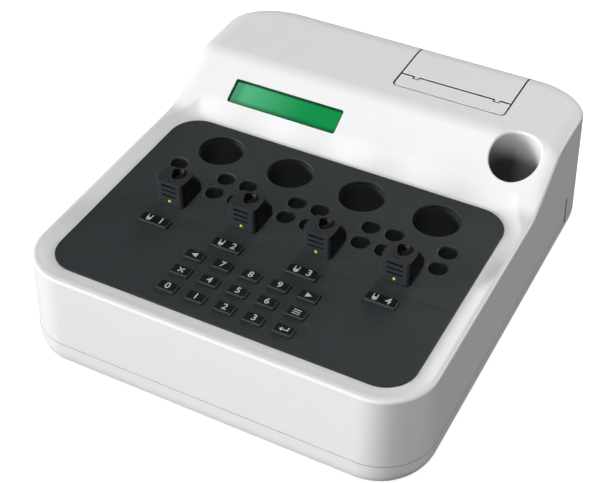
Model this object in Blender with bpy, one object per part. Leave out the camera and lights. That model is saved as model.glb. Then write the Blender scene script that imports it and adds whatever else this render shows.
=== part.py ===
"""Four-channel coagulation analyzer, built from the pieces it comes apart into.

X runs to the user's right, Y to the back and Z up, in metres. The origin lies on the
table, under the middle of the footprint.
"""
import math

import bmesh
import bpy
from mathutils import Vector

# Fits that every piece shares
SEAM = 0.0003
OVERRUN = 0.002
WALL = 0.0025
RUNNING_CLEARANCE = 0.00025

# Housing: footprint at the foot of the drafted walls, and how far they lean in by panel height
FOOTPRINT_WIDTH = 0.2654
FOOTPRINT_DEPTH = 0.3090
SIDE_LEAN = 0.0027
FRONT_LEAN = 0.0027
BACK_LEAN = 0.0030
FRONT_CORNER = 0.0352
BACK_CORNER = 0.0430

# Levels: the feet, the tray's depth, the panel's face above the tray's underside
FOOT_HEIGHT = 0.0025
TRAY_HEIGHT = 0.0137
PANEL_HEIGHT = 0.0620
CREST_RISE = 0.0023
TOP_RISE = 0.0270
RIM_EDGE = 0.0025
SIDE_EDGE = 0.0060
BACK_EDGE = 0.0220
CREST_FLAT = 0.0004
TRAY_EDGE = 0.0050

# Depth behind the panel's front edge, shared out ahead of the printer
PANEL_SETBACK = 0.0162
PRINTER_ZONE = 0.0666
BACK_FACE = FOOTPRINT_DEPTH - PANEL_SETBACK
BAY_FRONT = BACK_FACE - PRINTER_ZONE
PANEL_DEPTH_SHARE = 0.73431
SLOPE_START_SHARE = 0.72502
SLOPE_RUN_SHARE = 0.20557

# Sloped back, measured behind the panel's front edge
SLOPE_START = SLOPE_START_SHARE * BAY_FRONT
SLOPE_RUN = SLOPE_RUN_SHARE * BAY_FRONT
SLOPE_CREST_RADIUS = 0.0220

# Control panel: a plate in a recess, on a ledge
PANEL_SIDE_MARGIN = 0.0152
PANEL_WIDTH = FOOTPRINT_WIDTH - 2 * PANEL_SIDE_MARGIN
PANEL_DEPTH = PANEL_DEPTH_SHARE * BAY_FRONT
PANEL_CORNER = 0.0200
PANEL_THICKNESS = 0.0025
LEDGE_WIDTH = 0.0040
LEDGE_THICKNESS = 0.0025
DISH_LIP = 0.0003
DISH_MIDDLE_RISE = 0.0008

# Channels: pitch across, and the places of wells and heads behind the panel's front edge
CHANNEL_COUNT = 4
CHANNEL_PITCH_SHARE = 0.21617
CHANNEL_PITCH = CHANNEL_PITCH_SHARE * PANEL_WIDTH
REAGENT_RADIUS_SHARE = 0.09031
REAGENT_Y_SHARE = 0.85430
REAGENT_WELL_RADIUS = REAGENT_RADIUS_SHARE * PANEL_DEPTH
REAGENT_WELL_Y = REAGENT_Y_SHARE * PANEL_DEPTH
REAGENT_WELL_FLOOR = 0.0058
SMALL_WELL_RADIUS = 0.00575
SMALL_WELL_SHARE = 0.34449
SMALL_WELL_OFFSET = SMALL_WELL_SHARE * CHANNEL_PITCH
SMALL_ROW_SHARES = (0.61409, 0.70740)
SMALL_WELL_ROWS = [PANEL_DEPTH * share for share in SMALL_ROW_SHARES]
SMALL_WELL_DEPTH = 0.0300

# Measuring head
HEAD_Y_SHARE = 0.52980
HEAD_Y = HEAD_Y_SHARE * PANEL_DEPTH
HEAD_HEIGHT = 0.0180
HEAD_HALF_WIDTH = 0.0096
HEAD_FACE_HALF_WIDTH = 0.0078
HEAD_FRONT = 0.0100
HEAD_SHOULDER = 0.0050
HEAD_TOP_BACK = 0.0060
HEAD_BACK = 0.0155
HEAD_BACK_HALF_WIDTH = 0.0070
HEAD_HEEL_HEIGHT = 0.0055
CUVETTE_RADIUS = 0.0040
CUVETTE_DEPTH = 0.0400
FUNNEL_RADIUS = 0.0064
FUNNEL_DEPTH = 0.0030
GROOVE_WIDTH = 0.0090
GROOVE_HEIGHT = 0.0012
GROOVE_DEPTH = 0.0012
GROOVE_LEVELS = (0.0075, 0.0112, 0.0150)
SPIGOT_RADIUS = 0.0070
SPIGOT_DEPTH = 0.0240
LAMP_RADIUS = 0.0010
LAMP_LEVEL = 0.0034
LAMP_LENGTH = 0.0030
LAMP_PROUD = 0.0004

# Incubator block, heater and stirrers below the panel
BLOCK_WIDTH_SHARE = 0.88511
BLOCK_WIDTH = BLOCK_WIDTH_SHARE * PANEL_WIDTH
BLOCK_REACH = 0.0140
BLOCK_FRONT = HEAD_Y - BLOCK_REACH
BLOCK_CLEARANCE = 0.0021
BLOCK_BACK = PANEL_DEPTH - LEDGE_WIDTH - BLOCK_CLEARANCE
BLOCK_LIFT = 0.0117
HEATER_THICKNESS = 0.0012
HEATER_SETBACK = 0.0090
HEATER_FRONT = HEAD_Y + HEATER_SETBACK
HEATER_MARGIN = 0.0060
STIRRER_BOARD_THICKNESS = 0.0016
STIRRER_BOARD_REACH = 0.0120
STIRRER_BOARD_FRONT = HEAD_Y - STIRRER_BOARD_REACH
STIRRER_BOARD_BACK = HEAD_Y + STIRRER_BOARD_REACH
BOARD_WIDTH_SHARE = 0.80851
STIRRER_BOARD_WIDTH = BOARD_WIDTH_SHARE * PANEL_WIDTH
MOTOR_RADIUS = 0.0060
ROTOR_RADIUS = 0.0055
ROTOR_THICKNESS = 0.0040
ROTOR_LIFT = 0.0014
ROTOR_GAP = 0.0019
ROTOR_SHAFT_RADIUS = 0.0010
ROTOR_SHAFT_LENGTH = 0.0080

# Keys: cap sizes, rows behind the panel's front edge, travel
KEY_PITCH_SHARE = 0.081064
KEY_PITCH = KEY_PITCH_SHARE * PANEL_WIDTH
KEY_ROW_SHARES = (0.08369, 0.17580, 0.26731)
KEY_ROWS = [PANEL_DEPTH * share for share in KEY_ROW_SHARES]
KEY_WIDTH = 0.0122
KEY_DEPTH = 0.0078
CHANNEL_KEY_Y_SHARE = 0.36725
CHANNEL_KEY_Y = CHANNEL_KEY_Y_SHARE * PANEL_DEPTH
CHANNEL_KEY_SHARE = 0.39370
CHANNEL_KEY_WIDTH = CHANNEL_KEY_SHARE * CHANNEL_PITCH
CHANNEL_KEY_DEPTH = 0.0080
KEY_RISE = 0.0018
KEY_CORNER = 0.0014
KEY_BEVEL = 0.0006
KEY_LIP = 0.0012
KEY_LIP_THICKNESS = 0.0014
KEY_CLEARANCE = 0.0004
KEY_TRAVEL = 0.0010
KEY_MAT_THICKNESS = 0.0014
KEYPAD_BOARD_THICKNESS = 0.0016
KEYPAD_BOARD_FRONT = 0.0060
KEYPAD_BOARD_GAP = 0.0050
KEYPAD_BOARD_BACK = BLOCK_FRONT - KEYPAD_BOARD_GAP
KEYPAD_BOARD_WIDTH = BOARD_WIDTH_SHARE * PANEL_WIDTH
KEY_MAT_MARGIN = 0.0060
PANEL_POST_RADIUS = 0.0020

# Screen: window on the slope, measured up the slope from its foot
WINDOW_FROM_SIDE = 0.0775
WINDOW_CENTRE_X = WINDOW_FROM_SIDE - FOOTPRINT_WIDTH / 2
WINDOW_WIDTH = 0.0788
WINDOW_HEIGHT = 0.0164
WINDOW_CORNER = 0.0010
WINDOW_RUN_SHARE = 0.53747
WINDOW_RUN = WINDOW_RUN_SHARE * math.hypot(TOP_RISE, SLOPE_RUN)
WINDOW_RECESS = 0.0014
WINDOW_THICKNESS = 0.0015
DISPLAY_FRAME_WIDTH = 0.0860
DISPLAY_FRAME_HEIGHT = 0.0240
DISPLAY_FRAME_DEPTH = 0.0070
DISPLAY_BOARD_WIDTH = 0.0980
DISPLAY_BOARD_HEIGHT = 0.0340
DISPLAY_BOARD_THICKNESS = 0.0016

# Round pocket at the right of the slope
POCKET_FROM_SIDE = 0.0297
POCKET_X = FOOTPRINT_WIDTH / 2 - POCKET_FROM_SIDE
POCKET_AHEAD = 0.0262
POCKET_Y = BAY_FRONT - POCKET_AHEAD
POCKET_RADIUS = 0.0164
POCKET_WALL = 0.0018
POCKET_DEPTH = 0.0590

# Printer bay, its strip, cover and hinge
BAY_WIDTH = 0.0792
BAY_FROM_SIDE = 0.0478
BAY_RIGHT = FOOTPRINT_WIDTH / 2 - BAY_FROM_SIDE
BAY_LEFT = BAY_RIGHT - BAY_WIDTH
BAY_CORNER = 0.0035
STRIP_DEPTH = 0.0146
STRIP_THICKNESS = 0.0025
PANEL_LINE_GAP = 0.0004
PAPER_GAP = 0.0010
TONGUE_WIDTH = 0.0030
TONGUE_LENGTH = 0.0024
TONGUE_CLEARANCE = 0.0005
TONGUE_THICKNESS = 0.0015
TONGUE_PLACES = (0.0119, 0.0688)
COVER_THICKNESS = 0.0022
BARREL_RADIUS = 0.0032
HINGE_RISE = 0.0050
HINGE_RECESS = 0.0004
PIN_RADIUS = 0.0010
PIN_OVERHANG = 0.0040
BOSS_WIDTH = 0.0050
BOSS_REACH = 0.0042
EAR_THICKNESS = 0.0018
EAR_INSET = 0.0030
EAR_HALF_WIDTH = 0.0035
NOTCH_FRONT = 0.0023
NOTCH_BACK = 0.0034

# Printer inside: platen, print head, trough and paper
PLATEN_RADIUS = 0.0055
PLATEN_SHAFT_RADIUS = 0.0015
PLATEN_SETBACK = 0.0060
PLATEN_DROP = 0.0095
PLATEN_GEAR_RADIUS = 0.0050
PLATEN_GEAR_TEETH = 16
PLATEN_GEAR_THICKNESS = 0.0016
GEAR_TOOTH_DEPTH = 0.0009
TOOTH_SHARES = (0, 0.4, 0.5, 0.9)
FRAME_INSET = 0.0072
FRAME_WALL = 0.0018
TROUGH_RADIUS = 0.0180
TROUGH_BEHIND = 0.0393
TROUGH_Y = BAY_FRONT + TROUGH_BEHIND
FLANGE_REACH = 0.0080
FLANGE_THICKNESS = 0.0020
PRINT_HEAD_HEIGHT = 0.0110
PRINT_HEAD_DEPTH = 0.0065
HEAD_GAP = 0.0016
PAPER_WIDTH = 0.0575
PAPER_RADIUS = 0.0165
PAPER_CORE_RADIUS = 0.0065

# Boards and supply behind the incubator
SUPPLY_FROM_SIDE = 0.0207
SUPPLY_WIDTH = 0.0600
SUPPLY_DEPTH = 0.0700
SUPPLY_FROM_BACK = 0.0428
SUPPLY_LIFT = 0.0030
SUPPLY_LEFT = SUPPLY_FROM_SIDE - FOOTPRINT_WIDTH / 2
SUPPLY_RIGHT = SUPPLY_LEFT + SUPPLY_WIDTH
SUPPLY_BACK = BACK_FACE - SUPPLY_FROM_BACK
SUPPLY_FRONT = SUPPLY_BACK - SUPPLY_DEPTH
MAIN_BOARD_FROM_SIDE = 0.0327
MAIN_BOARD_FROM_BACK = 0.0108
MAIN_BOARD_DEPTH = 0.1020
MAIN_BOARD_LIFT = 0.0100
BOARD_GAP = 0.0100
MAIN_BOARD_LEFT = SUPPLY_RIGHT + BOARD_GAP
MAIN_BOARD_RIGHT = FOOTPRINT_WIDTH / 2 - MAIN_BOARD_FROM_SIDE
MAIN_BOARD_BACK = BACK_FACE - MAIN_BOARD_FROM_BACK
MAIN_BOARD_FRONT = MAIN_BOARD_BACK - MAIN_BOARD_DEPTH
BOARD_THICKNESS = 0.0016
CHIP_HEIGHT = 0.0040
CHIP_SHARES = ((0.25, 0.35, 0.20), (0.60, 0.30, 0.16), (0.82, 0.55, 0.12))
TRANSFORMER_SIZE = 0.0340
TRANSFORMER_HEIGHT = 0.0240
CAPACITOR_RADIUS = 0.0060
CAPACITOR_HEIGHT = 0.0200
CAPACITOR_SPREAD = 0.0090
SUPPLY_MARGIN = 0.0060

# Sockets in the back wall and the card slot in the right wall
INLET_FROM_SIDE = 0.0527
INLET_X = INLET_FROM_SIDE - FOOTPRINT_WIDTH / 2
INLET_WIDTH = 0.0480
INLET_HEIGHT = 0.0270
INLET_DEPTH = 0.0260
INLET_LIFT = 0.0250
INLET_RECESS = 0.0016
INLET_OPENING_WIDTH = 0.0240
INLET_OPENING_HEIGHT = 0.0180
INLET_OPENING_DEPTH = 0.0160
BLADE_WIDTH = 0.0020
BLADE_HEIGHT = 0.0040
BLADE_LENGTH = 0.0100
BLADE_PITCH = 0.0070
BLADE_DROP = 0.0020
ROCKER_WIDTH = 0.0130
ROCKER_HEIGHT = 0.0190
ROCKER_DEPTH = 0.0080
ROCKER_OFFSET = 0.0160
ROCKER_PIN_RADIUS = 0.0010
ROCKER_PIN_LENGTH = 0.0012
ROCKER_SPLAY = 0.0010
ROCKER_PIVOT_DEPTH = 0.0030
ROCKER_TILT_DEGREES = 6
INLET_SHIFT = 0.0090
SERIAL_INSET = 0.0370
SERIAL_X = MAIN_BOARD_LEFT + SERIAL_INSET
SERIAL_WIDTH = 0.0310
SERIAL_HEIGHT = 0.0125
SERIAL_DEPTH = 0.0140
SERIAL_OPENING_WIDTH = 0.0170
SERIAL_OPENING_HEIGHT = 0.0080
SERIAL_OPENING_DEPTH = 0.0060
SLOT_FROM_BACK = 0.0552
SLOT_Y = BACK_FACE - SLOT_FROM_BACK
SLOT_WIDTH = 0.0022
SLOT_HEIGHT = 0.0203
SLOT_TOP = 0.0328
CARD_READER_WIDTH = 0.0060
CARD_READER_DEPTH = 0.0260
CARD_READER_HEIGHT = 0.0250
CARD_THROAT_DEPTH = 0.0200

# Feet and pillars
FOOT_RADIUS = 0.0080
FOOT_STUD_RADIUS = 0.0025
FOOT_STUD_LENGTH = 0.0040
FOOT_FROM_SIDE = 0.0287
FOOT_X = FOOTPRINT_WIDTH / 2 - FOOT_FROM_SIDE
FOOT_FRONT_Y = 0.0150
FOOT_FROM_BACK = 0.0368
FOOT_BACK_Y = BACK_FACE - FOOT_FROM_BACK
PILLAR_RADIUS = 0.0035
PILLAR_FROM_SIDE = 0.0122
PILLAR_X = FOOTPRINT_WIDTH / 2 - PILLAR_FROM_SIDE
PILLAR_ROW_SHARES = (0.18061, 0.90307)
PILLAR_ROWS = [PANEL_DEPTH * share for share in PILLAR_ROW_SHARES]
POST_RADIUS = 0.0025
POST_MARGIN = 0.0030

# Smoothness of round work
CORNER_STEPS = 7
WELL_SIDES = 24
SMALL_SIDES = 12
EDGE_STEPS = 4
SHARP_DEGREES = 40
FLAT_DEGREES = 1

# Levels and places that follow from the sizes above
TRAY_LEVEL = FOOT_HEIGHT
PARTING_LEVEL = FOOT_HEIGHT + TRAY_HEIGHT
PANEL_LEVEL = FOOT_HEIGHT + PANEL_HEIGHT
TOP_LEVEL = PANEL_LEVEL + TOP_RISE
FLOOR_LEVEL = TRAY_LEVEL + WALL
LEDGE_LEVEL = PANEL_LEVEL - PANEL_THICKNESS - SEAM
LEDGE_UNDERSIDE = LEDGE_LEVEL - LEDGE_THICKNESS
PANEL_FRONT = PANEL_SETBACK - FOOTPRINT_DEPTH / 2
SLOPE_ANGLE = math.atan2(TOP_RISE, SLOPE_RUN)
BLOCK_TOP = PANEL_LEVEL - PANEL_THICKNESS - SEAM
BLOCK_BOTTOM = FLOOR_LEVEL + BLOCK_LIFT
MAIN_BOARD_LEVEL = FLOOR_LEVEL + MAIN_BOARD_LIFT
SUPPLY_LEVEL = FLOOR_LEVEL + SUPPLY_LIFT
INLET_LEVEL = FLOOR_LEVEL + INLET_LIFT
HINGE_LEVEL = PANEL_LEVEL + HINGE_RISE

FINISHES = {
    "white_plastic": ((0.80, 0.81, 0.80), 0.45, 0.0),
    "panel_plastic": ((0.035, 0.038, 0.041), 0.55, 0.0),
    "head_plastic": ((0.026, 0.028, 0.030), 0.5, 0.0),
    "key_plastic": ((0.010, 0.011, 0.012), 0.45, 0.0),
    "lamp_lens": ((0.45, 0.55, 0.06), 0.3, 0.0),
    "screen_glass": ((0.015, 0.28, 0.10), 0.2, 0.0),
    "anodised_aluminium": ((0.02, 0.02, 0.022), 0.4, 0.9),
    "heater_film": ((0.50, 0.20, 0.05), 0.5, 0.0),
    "magnet_steel": ((0.30, 0.30, 0.32), 0.35, 0.9),
    "circuit_board": ((0.01, 0.16, 0.06), 0.5, 0.0),
    "silicone": ((0.30, 0.31, 0.32), 0.7, 0.0),
    "steel": ((0.55, 0.56, 0.58), 0.3, 1.0),
    "frame_plastic": ((0.05, 0.05, 0.055), 0.5, 0.0),
    "platen_rubber": ((0.04, 0.04, 0.04), 0.8, 0.0),
    "paper": ((0.86, 0.86, 0.84), 0.85, 0.0),
    "socket_plastic": ((0.012, 0.012, 0.013), 0.45, 0.0),
    "foot_rubber": ((0.03, 0.03, 0.03), 0.85, 0.0),
}


# Meshes

def finish_material(name):
    """Principled material of a finish, made once."""
    material = bpy.data.materials.get(name)
    if material is None:
        colour, roughness, metallic = FINISHES[name]
        material = bpy.data.materials.new(name)
        material.use_nodes = True
        shader = material.node_tree.nodes["Principled BSDF"]
        shader.inputs["Base Color"].default_value = (*colour, 1)
        shader.inputs["Roughness"].default_value = roughness
        shader.inputs["Metallic"].default_value = metallic
    return material


def make_object(name, bm):
    """Object from a bmesh: faces pointing out, and smooth where they bend into a neighbour."""
    bmesh.ops.recalc_face_normals(bm, faces=bm.faces)
    sharp = math.radians(SHARP_DEGREES)
    flat = math.radians(FLAT_DEGREES)
    for face in bm.faces:
        face.smooth = any(flat < edge.calc_face_angle(0) < sharp for edge in face.edges)
    mesh = bpy.data.meshes.new(name)
    bm.to_mesh(mesh)
    bm.free()
    mesh.set_sharp_from_angle(angle=sharp)
    piece = bpy.data.objects.new(name, mesh)
    bpy.context.collection.objects.link(piece)
    return piece


def make_piece(name, bm, finish, place=(0, 0, 0), parent=None):
    """Sub-part with its finish, at its place."""
    piece = make_object(name, bm)
    piece.data.materials.append(finish_material(finish))
    piece.location = place
    piece.parent = parent
    return piece


def make_helper(name, bm, place=(0, 0, 0), parent=None):
    """Shape that only cuts or joins others."""
    helper = make_object(name, bm)
    helper.location = place
    helper.parent = parent
    helper.hide_render = True
    helper.display_type = 'WIRE'
    return helper


def combine(piece, helper, operation):
    """Boolean of a piece with a helper."""
    modifier = piece.modifiers.new(helper.name, 'BOOLEAN')
    modifier.operation = operation
    modifier.solver = 'EXACT'
    modifier.object = helper


def cut(piece, helper):
    combine(piece, helper, 'DIFFERENCE')


def join(piece, helper):
    combine(piece, helper, 'UNION')


def add_loft(bm, rings):
    """Closed solid through rings of points with equal counts, capped at both ends."""
    rows = [[bm.verts.new(point) for point in ring] for ring in rings]
    count = len(rows[0])
    for lower, upper in zip(rows, rows[1:]):
        for i in range(count):
            j = (i + 1) % count
            bm.faces.new((lower[i], lower[j], upper[j], upper[i]))
    bm.faces.new(list(reversed(rows[0])))
    bm.faces.new(rows[-1])


def add_prism(bm, outline, low, high):
    """Upright prism of an outline in X and Y."""
    add_loft(bm, [[Vector((x, y, z)) for x, y in outline] for z in (low, high)])


def add_beam(bm, outline, left, right):
    """Prism along X of an outline in Y and Z."""
    add_loft(bm, [[Vector((x, y, z)) for y, z in outline] for x in (left, right)])


def add_hoop(bm, rings):
    """Closed band through rings of points, the last joined to the first."""
    rows = [[bm.verts.new(point) for point in ring] for ring in rings]
    count = len(rows[0])
    for lower, upper in zip(rows, rows[1:] + rows[:1]):
        for i in range(count):
            j = (i + 1) % count
            bm.faces.new((lower[i], lower[j], upper[j], upper[i]))


def add_box(bm, left, right, front, back, low, high):
    add_prism(bm, [(left, front), (right, front), (right, back), (left, back)], low, high)


def circle(radius, sides, centre=(0, 0)):
    """Points of a circle, with flats at the four quarters."""
    turns = [math.tau * (i + 1 / 2) / sides for i in range(sides)]
    return [(centre[0] + radius * math.cos(a), centre[1] + radius * math.sin(a)) for a in turns]


def arc(centre, radius, start, end, steps):
    """Points of an arc between two angles in radians."""
    angles = [start + (end - start) * i / steps for i in range(steps + 1)]
    return [(centre[0] + radius * math.cos(a), centre[1] + radius * math.sin(a)) for a in angles]


def rounded_rectangle(left, right, front, back, front_radius, back_radius=None, steps=CORNER_STEPS):
    """Outline with round corners, counter-clockwise from the front left."""
    back_radius = front_radius if back_radius is None else back_radius
    quarter = math.pi / 2
    corners = ((left + front_radius, front + front_radius, front_radius, 2),
               (right - front_radius, front + front_radius, front_radius, 3),
               (right - back_radius, back - back_radius, back_radius, 0),
               (left + back_radius, back - back_radius, back_radius, 1))
    outline = []
    for x, y, radius, turn in corners:
        outline += arc((x, y), radius, turn * quarter, (turn + 1) * quarter, steps)
    return outline


def add_rod(bm, outline, left, right, place):
    """Prism along X of a round outline about a point in Y and Z."""
    add_beam(bm, [(place[0] + y, place[1] + z) for y, z in outline], left, right)


def behind_panel_front(distance):
    return PANEL_FRONT + distance


# Walls of the housing and tray

def wall_marks(stations):
    """Marks up the right half of the outline: corner angles and straight places."""
    quarter = math.pi / 2
    steps = range(CORNER_STEPS + 1)
    marks = [("front", quarter * (i / CORNER_STEPS - 1)) for i in steps]
    marks += [("side", y) for y in stations]
    marks += [("back", quarter * i / CORNER_STEPS) for i in steps]
    return marks


def wall_place(mark, level, inset):
    """Point on the drafted wall at a level, moved inwards by inset."""
    kind, value = mark
    lean = (level - TRAY_LEVEL) / PANEL_HEIGHT
    half_width = FOOTPRINT_WIDTH / 2 - SIDE_LEAN * lean - inset
    front = -FOOTPRINT_DEPTH / 2 + FRONT_LEAN * lean + inset
    back = FOOTPRINT_DEPTH / 2 - BACK_LEAN * lean - inset
    if kind == "side":
        return Vector((half_width, value, level))
    if kind == "front":
        radius = FRONT_CORNER - SIDE_LEAN * lean - inset
        centre_y = front + radius
    else:
        radius = BACK_CORNER - SIDE_LEAN * lean - inset
        centre_y = back - radius
    x = half_width - radius + radius * math.cos(value)
    return Vector((x, centre_y + radius * math.sin(value), level))


def slope_top(drop):
    """Round crest of the slope and the top, all lowered square to themselves by drop."""
    start = behind_panel_front(SLOPE_START) + drop / math.sin(SLOPE_ANGLE)
    rise = TOP_RISE - drop
    radius = SLOPE_CREST_RADIUS - drop
    tangent = radius * math.tan(SLOPE_ANGLE / 2)
    centre_y = start + rise / math.tan(SLOPE_ANGLE) + tangent
    centre_z = PANEL_LEVEL + rise - radius
    angles = [math.pi / 2 + SLOPE_ANGLE * (1 - i / CORNER_STEPS) for i in range(CORNER_STEPS + 1)]
    return [(centre_y + radius * math.cos(a), centre_z + radius * math.sin(a)) for a in angles]


def outer_profile():
    """Top of the housing seen from the side, as (y, z) from front to back."""
    crest_y = behind_panel_front(SLOPE_START) + CREST_RISE / math.tan(SLOPE_ANGLE)
    return [(crest_y, PANEL_LEVEL + CREST_RISE)] + slope_top(0)


def inner_profile():
    """Roof inside the housing: flat under the panel's ledge, then under the slope."""
    step_y = behind_panel_front(PANEL_DEPTH) + WALL
    riser_y = step_y + WALL / 2
    start = behind_panel_front(SLOPE_START) + WALL / math.sin(SLOPE_ANGLE)
    riser_z = PANEL_LEVEL + (riser_y - start) * math.tan(SLOPE_ANGLE)
    return [(step_y, LEDGE_UNDERSIDE), (riser_y, riser_z)] + slope_top(WALL)


def height_at(profile, y):
    """Height of a profile at y, level beyond its ends."""
    if y <= profile[0][0]:
        return profile[0][1]
    for (y0, z0), (y1, z1) in zip(profile, profile[1:]):
        if y <= y1:
            return z0 + (z1 - z0) * (y - y0) / (y1 - y0)
    return profile[-1][1]


def edge_radius_at(mark, height, drop):
    """Radius between wall and top: small round the panel, larger up the slope and at the back."""
    share = min(max((height + drop - PANEL_LEVEL - CREST_RISE) / (TOP_RISE - CREST_RISE), 0), 1)
    radius = RIM_EDGE + (SIDE_EDGE - RIM_EDGE) * share
    if mark[0] == "back":
        radius += (BACK_EDGE - SIDE_EDGE) * math.sin(mark[1])
    return max(radius - drop, SEAM)


def shell_rings(profile, drop, bottom):
    """Half rings of a shell: its foot, then round the edge between wall and top."""
    marks = wall_marks([y for y, _ in profile])
    rings = [[wall_place(mark, bottom, drop) for mark in marks]]
    for step in range(EDGE_STEPS + 1):
        angle = math.pi / 2 * step / EDGE_STEPS
        ring = []
        for mark in marks:
            height = height_at(profile, wall_place(mark, PANEL_LEVEL, drop).y)
            radius = edge_radius_at(mark, height, drop)
            level = height - radius * (1 - math.sin(angle))
            ring.append(wall_place(mark, level, drop + radius * (1 - math.cos(angle))))
        rings.append(ring)
    return rings


def mirrored(point):
    return Vector((-point.x, point.y, point.z))


def add_shell(bm, half_rings):
    """Closed solid from right halves of rings, filled across the top and the foot."""
    rows = []
    for ring in half_rings:
        right = [bm.verts.new(point) for point in ring]
        left = [bm.verts.new(mirrored(point)) for point in ring]
        rows.append(right + left[::-1])
    count = len(rows[0])
    for lower, upper in zip(rows, rows[1:]):
        for i in range(count):
            j = (i + 1) % count
            bm.faces.new((lower[i], lower[j], upper[j], upper[i]))
    top = rows[-1]
    for i in range(count // 2 - 1):
        bm.faces.new((top[i], top[i + 1], top[count - 2 - i], top[count - 1 - i]))
    bm.faces.new(rows[0][::-1])


def level_ring(level, inset):
    """Whole outline of the walls at one level, moved inwards by inset."""
    right = [wall_place(mark, level, inset) for mark in wall_marks([])]
    return right + [mirrored(point) for point in right[::-1]]


def back_wall(level):
    """Outer face of the back wall at a level."""
    return wall_place(("back", math.pi / 2), level, 0).y


def side_wall(level):
    """Outer face of the right wall at a level."""
    return wall_place(("side", 0), level, 0).x


def slope_frame():
    """Empty at the slope's foot: its Y runs up the slope and its Z stands off it."""
    empty = bpy.data.objects.new("slope_frame", None)
    bpy.context.collection.objects.link(empty)
    empty.location = (0, behind_panel_front(SLOPE_START), PANEL_LEVEL)
    empty.rotation_euler = (SLOPE_ANGLE, 0, 0)
    return empty


def channel_places():
    """X of each channel, from the left."""
    middle = (CHANNEL_COUNT - 1) / 2
    return [CHANNEL_PITCH * (i - middle) for i in range(CHANNEL_COUNT)]


def small_well_places():
    return [(x + side * SMALL_WELL_OFFSET, behind_panel_front(row))
            for x in channel_places() for side in (-1, 1) for row in SMALL_WELL_ROWS]


def key_places():
    """Name, X, Y, width and depth of every key."""
    names = (("key_0", "key_1", "key_2", "key_3", "key_enter"),
             ("key_cancel", "key_4", "key_5", "key_6", "key_mode"),
             ("key_left", "key_7", "key_8", "key_9", "key_right"))
    places = []
    for row, row_names in zip(KEY_ROWS, names):
        middle = (len(row_names) - 1) / 2
        for i, name in enumerate(row_names):
            places.append((name, KEY_PITCH * (i - middle), behind_panel_front(row), KEY_WIDTH, KEY_DEPTH))
    for i, x in enumerate(channel_places()):
        places.append((f"channel_key_{i + 1}", x, behind_panel_front(CHANNEL_KEY_Y),
                       CHANNEL_KEY_WIDTH, CHANNEL_KEY_DEPTH))
    return places


def key_outline(width, depth, grow):
    """Outline about a key's middle, widened by grow."""
    half_width = width / 2 + grow
    half_depth = depth / 2 + grow
    return rounded_rectangle(-half_width, half_width, -half_depth, half_depth, KEY_CORNER + grow, steps=1)


# Housing and tray

def panel_outline(grow):
    half = PANEL_WIDTH / 2 + grow
    return rounded_rectangle(-half, half, behind_panel_front(-grow),
                             behind_panel_front(PANEL_DEPTH + grow), PANEL_CORNER + grow)


def hinge_place():
    """Y and Z of the paper cover's hinge axis."""
    return back_wall(HINGE_LEVEL) - HINGE_RECESS - BARREL_RADIUS, HINGE_LEVEL


def add_sockets(bm):
    """Rooms of the mains inlet and the serial socket in the back wall."""
    back = FOOTPRINT_DEPTH / 2 + OVERRUN
    front = back_wall(TOP_LEVEL) - WALL - OVERRUN
    add_box(bm, INLET_X - INLET_WIDTH / 2, INLET_X + INLET_WIDTH / 2, front, back,
            INLET_LEVEL, INLET_LEVEL + INLET_HEIGHT)
    top = MAIN_BOARD_LEVEL + BOARD_THICKNESS + SEAM + SERIAL_HEIGHT
    add_box(bm, SERIAL_X - SERIAL_WIDTH / 2, SERIAL_X + SERIAL_WIDTH / 2, front, back,
            PARTING_LEVEL - OVERRUN, top)


def add_slot(bm, low, high):
    """Room of the card slot through the right wall."""
    y = behind_panel_front(SLOT_Y)
    inside = side_wall(TOP_LEVEL) - WALL - OVERRUN
    add_box(bm, inside, FOOTPRINT_WIDTH / 2 + OVERRUN, y - SLOT_WIDTH / 2, y + SLOT_WIDTH / 2, low, high)


def housing_cavity():
    """Room inside the housing, without the pocket's cup and the hinge pin's bosses."""
    bm = bmesh.new()
    add_shell(bm, shell_rings(inner_profile(), WALL, PARTING_LEVEL - OVERRUN))
    cavity = make_helper("cavity_cut", bm)
    bm = bmesh.new()
    outline = circle(POCKET_RADIUS + POCKET_WALL, WELL_SIDES, (POCKET_X, behind_panel_front(POCKET_Y)))
    add_prism(bm, outline, TOP_LEVEL - POCKET_DEPTH - POCKET_WALL, TOP_LEVEL)
    y, z = hinge_place()
    for left, right in ((BAY_LEFT - BOSS_WIDTH, BAY_LEFT + OVERRUN),
                        (BAY_RIGHT - OVERRUN, BAY_RIGHT + BOSS_WIDTH)):
        add_box(bm, left, right, y - BOSS_REACH, FOOTPRINT_DEPTH / 2, z - BARREL_RADIUS, z + BOSS_REACH)
    cut(cavity, make_helper("cup_and_bosses", bm))
    return cavity


def dish_helper():
    """Shallow dish round the panel, up to the rim's crest."""
    crest = PANEL_LEVEL + CREST_RISE
    inset = RIM_EDGE + CREST_FLAT
    half = side_wall(crest) - inset
    front = wall_place(("front", -math.pi / 2), crest, inset).y
    back = outer_profile()[0][0] - CREST_FLAT
    outer = rounded_rectangle(-half, half, front, back, FRONT_CORNER - SIDE_LEAN - inset, PANEL_CORNER)
    inner = panel_outline(-SEAM)
    middle = [((a[0] + b[0]) / 2, (a[1] + b[1]) / 2) for a, b in zip(inner, outer)]
    rings = ((inner, PANEL_LEVEL + DISH_LIP), (middle, PANEL_LEVEL + DISH_MIDDLE_RISE),
             (outer, crest), (outer, crest + OVERRUN))
    bm = bmesh.new()
    add_loft(bm, [[Vector((x, y, z)) for x, y in outline] for outline, z in rings])
    return make_helper("dish_cut", bm)


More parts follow.
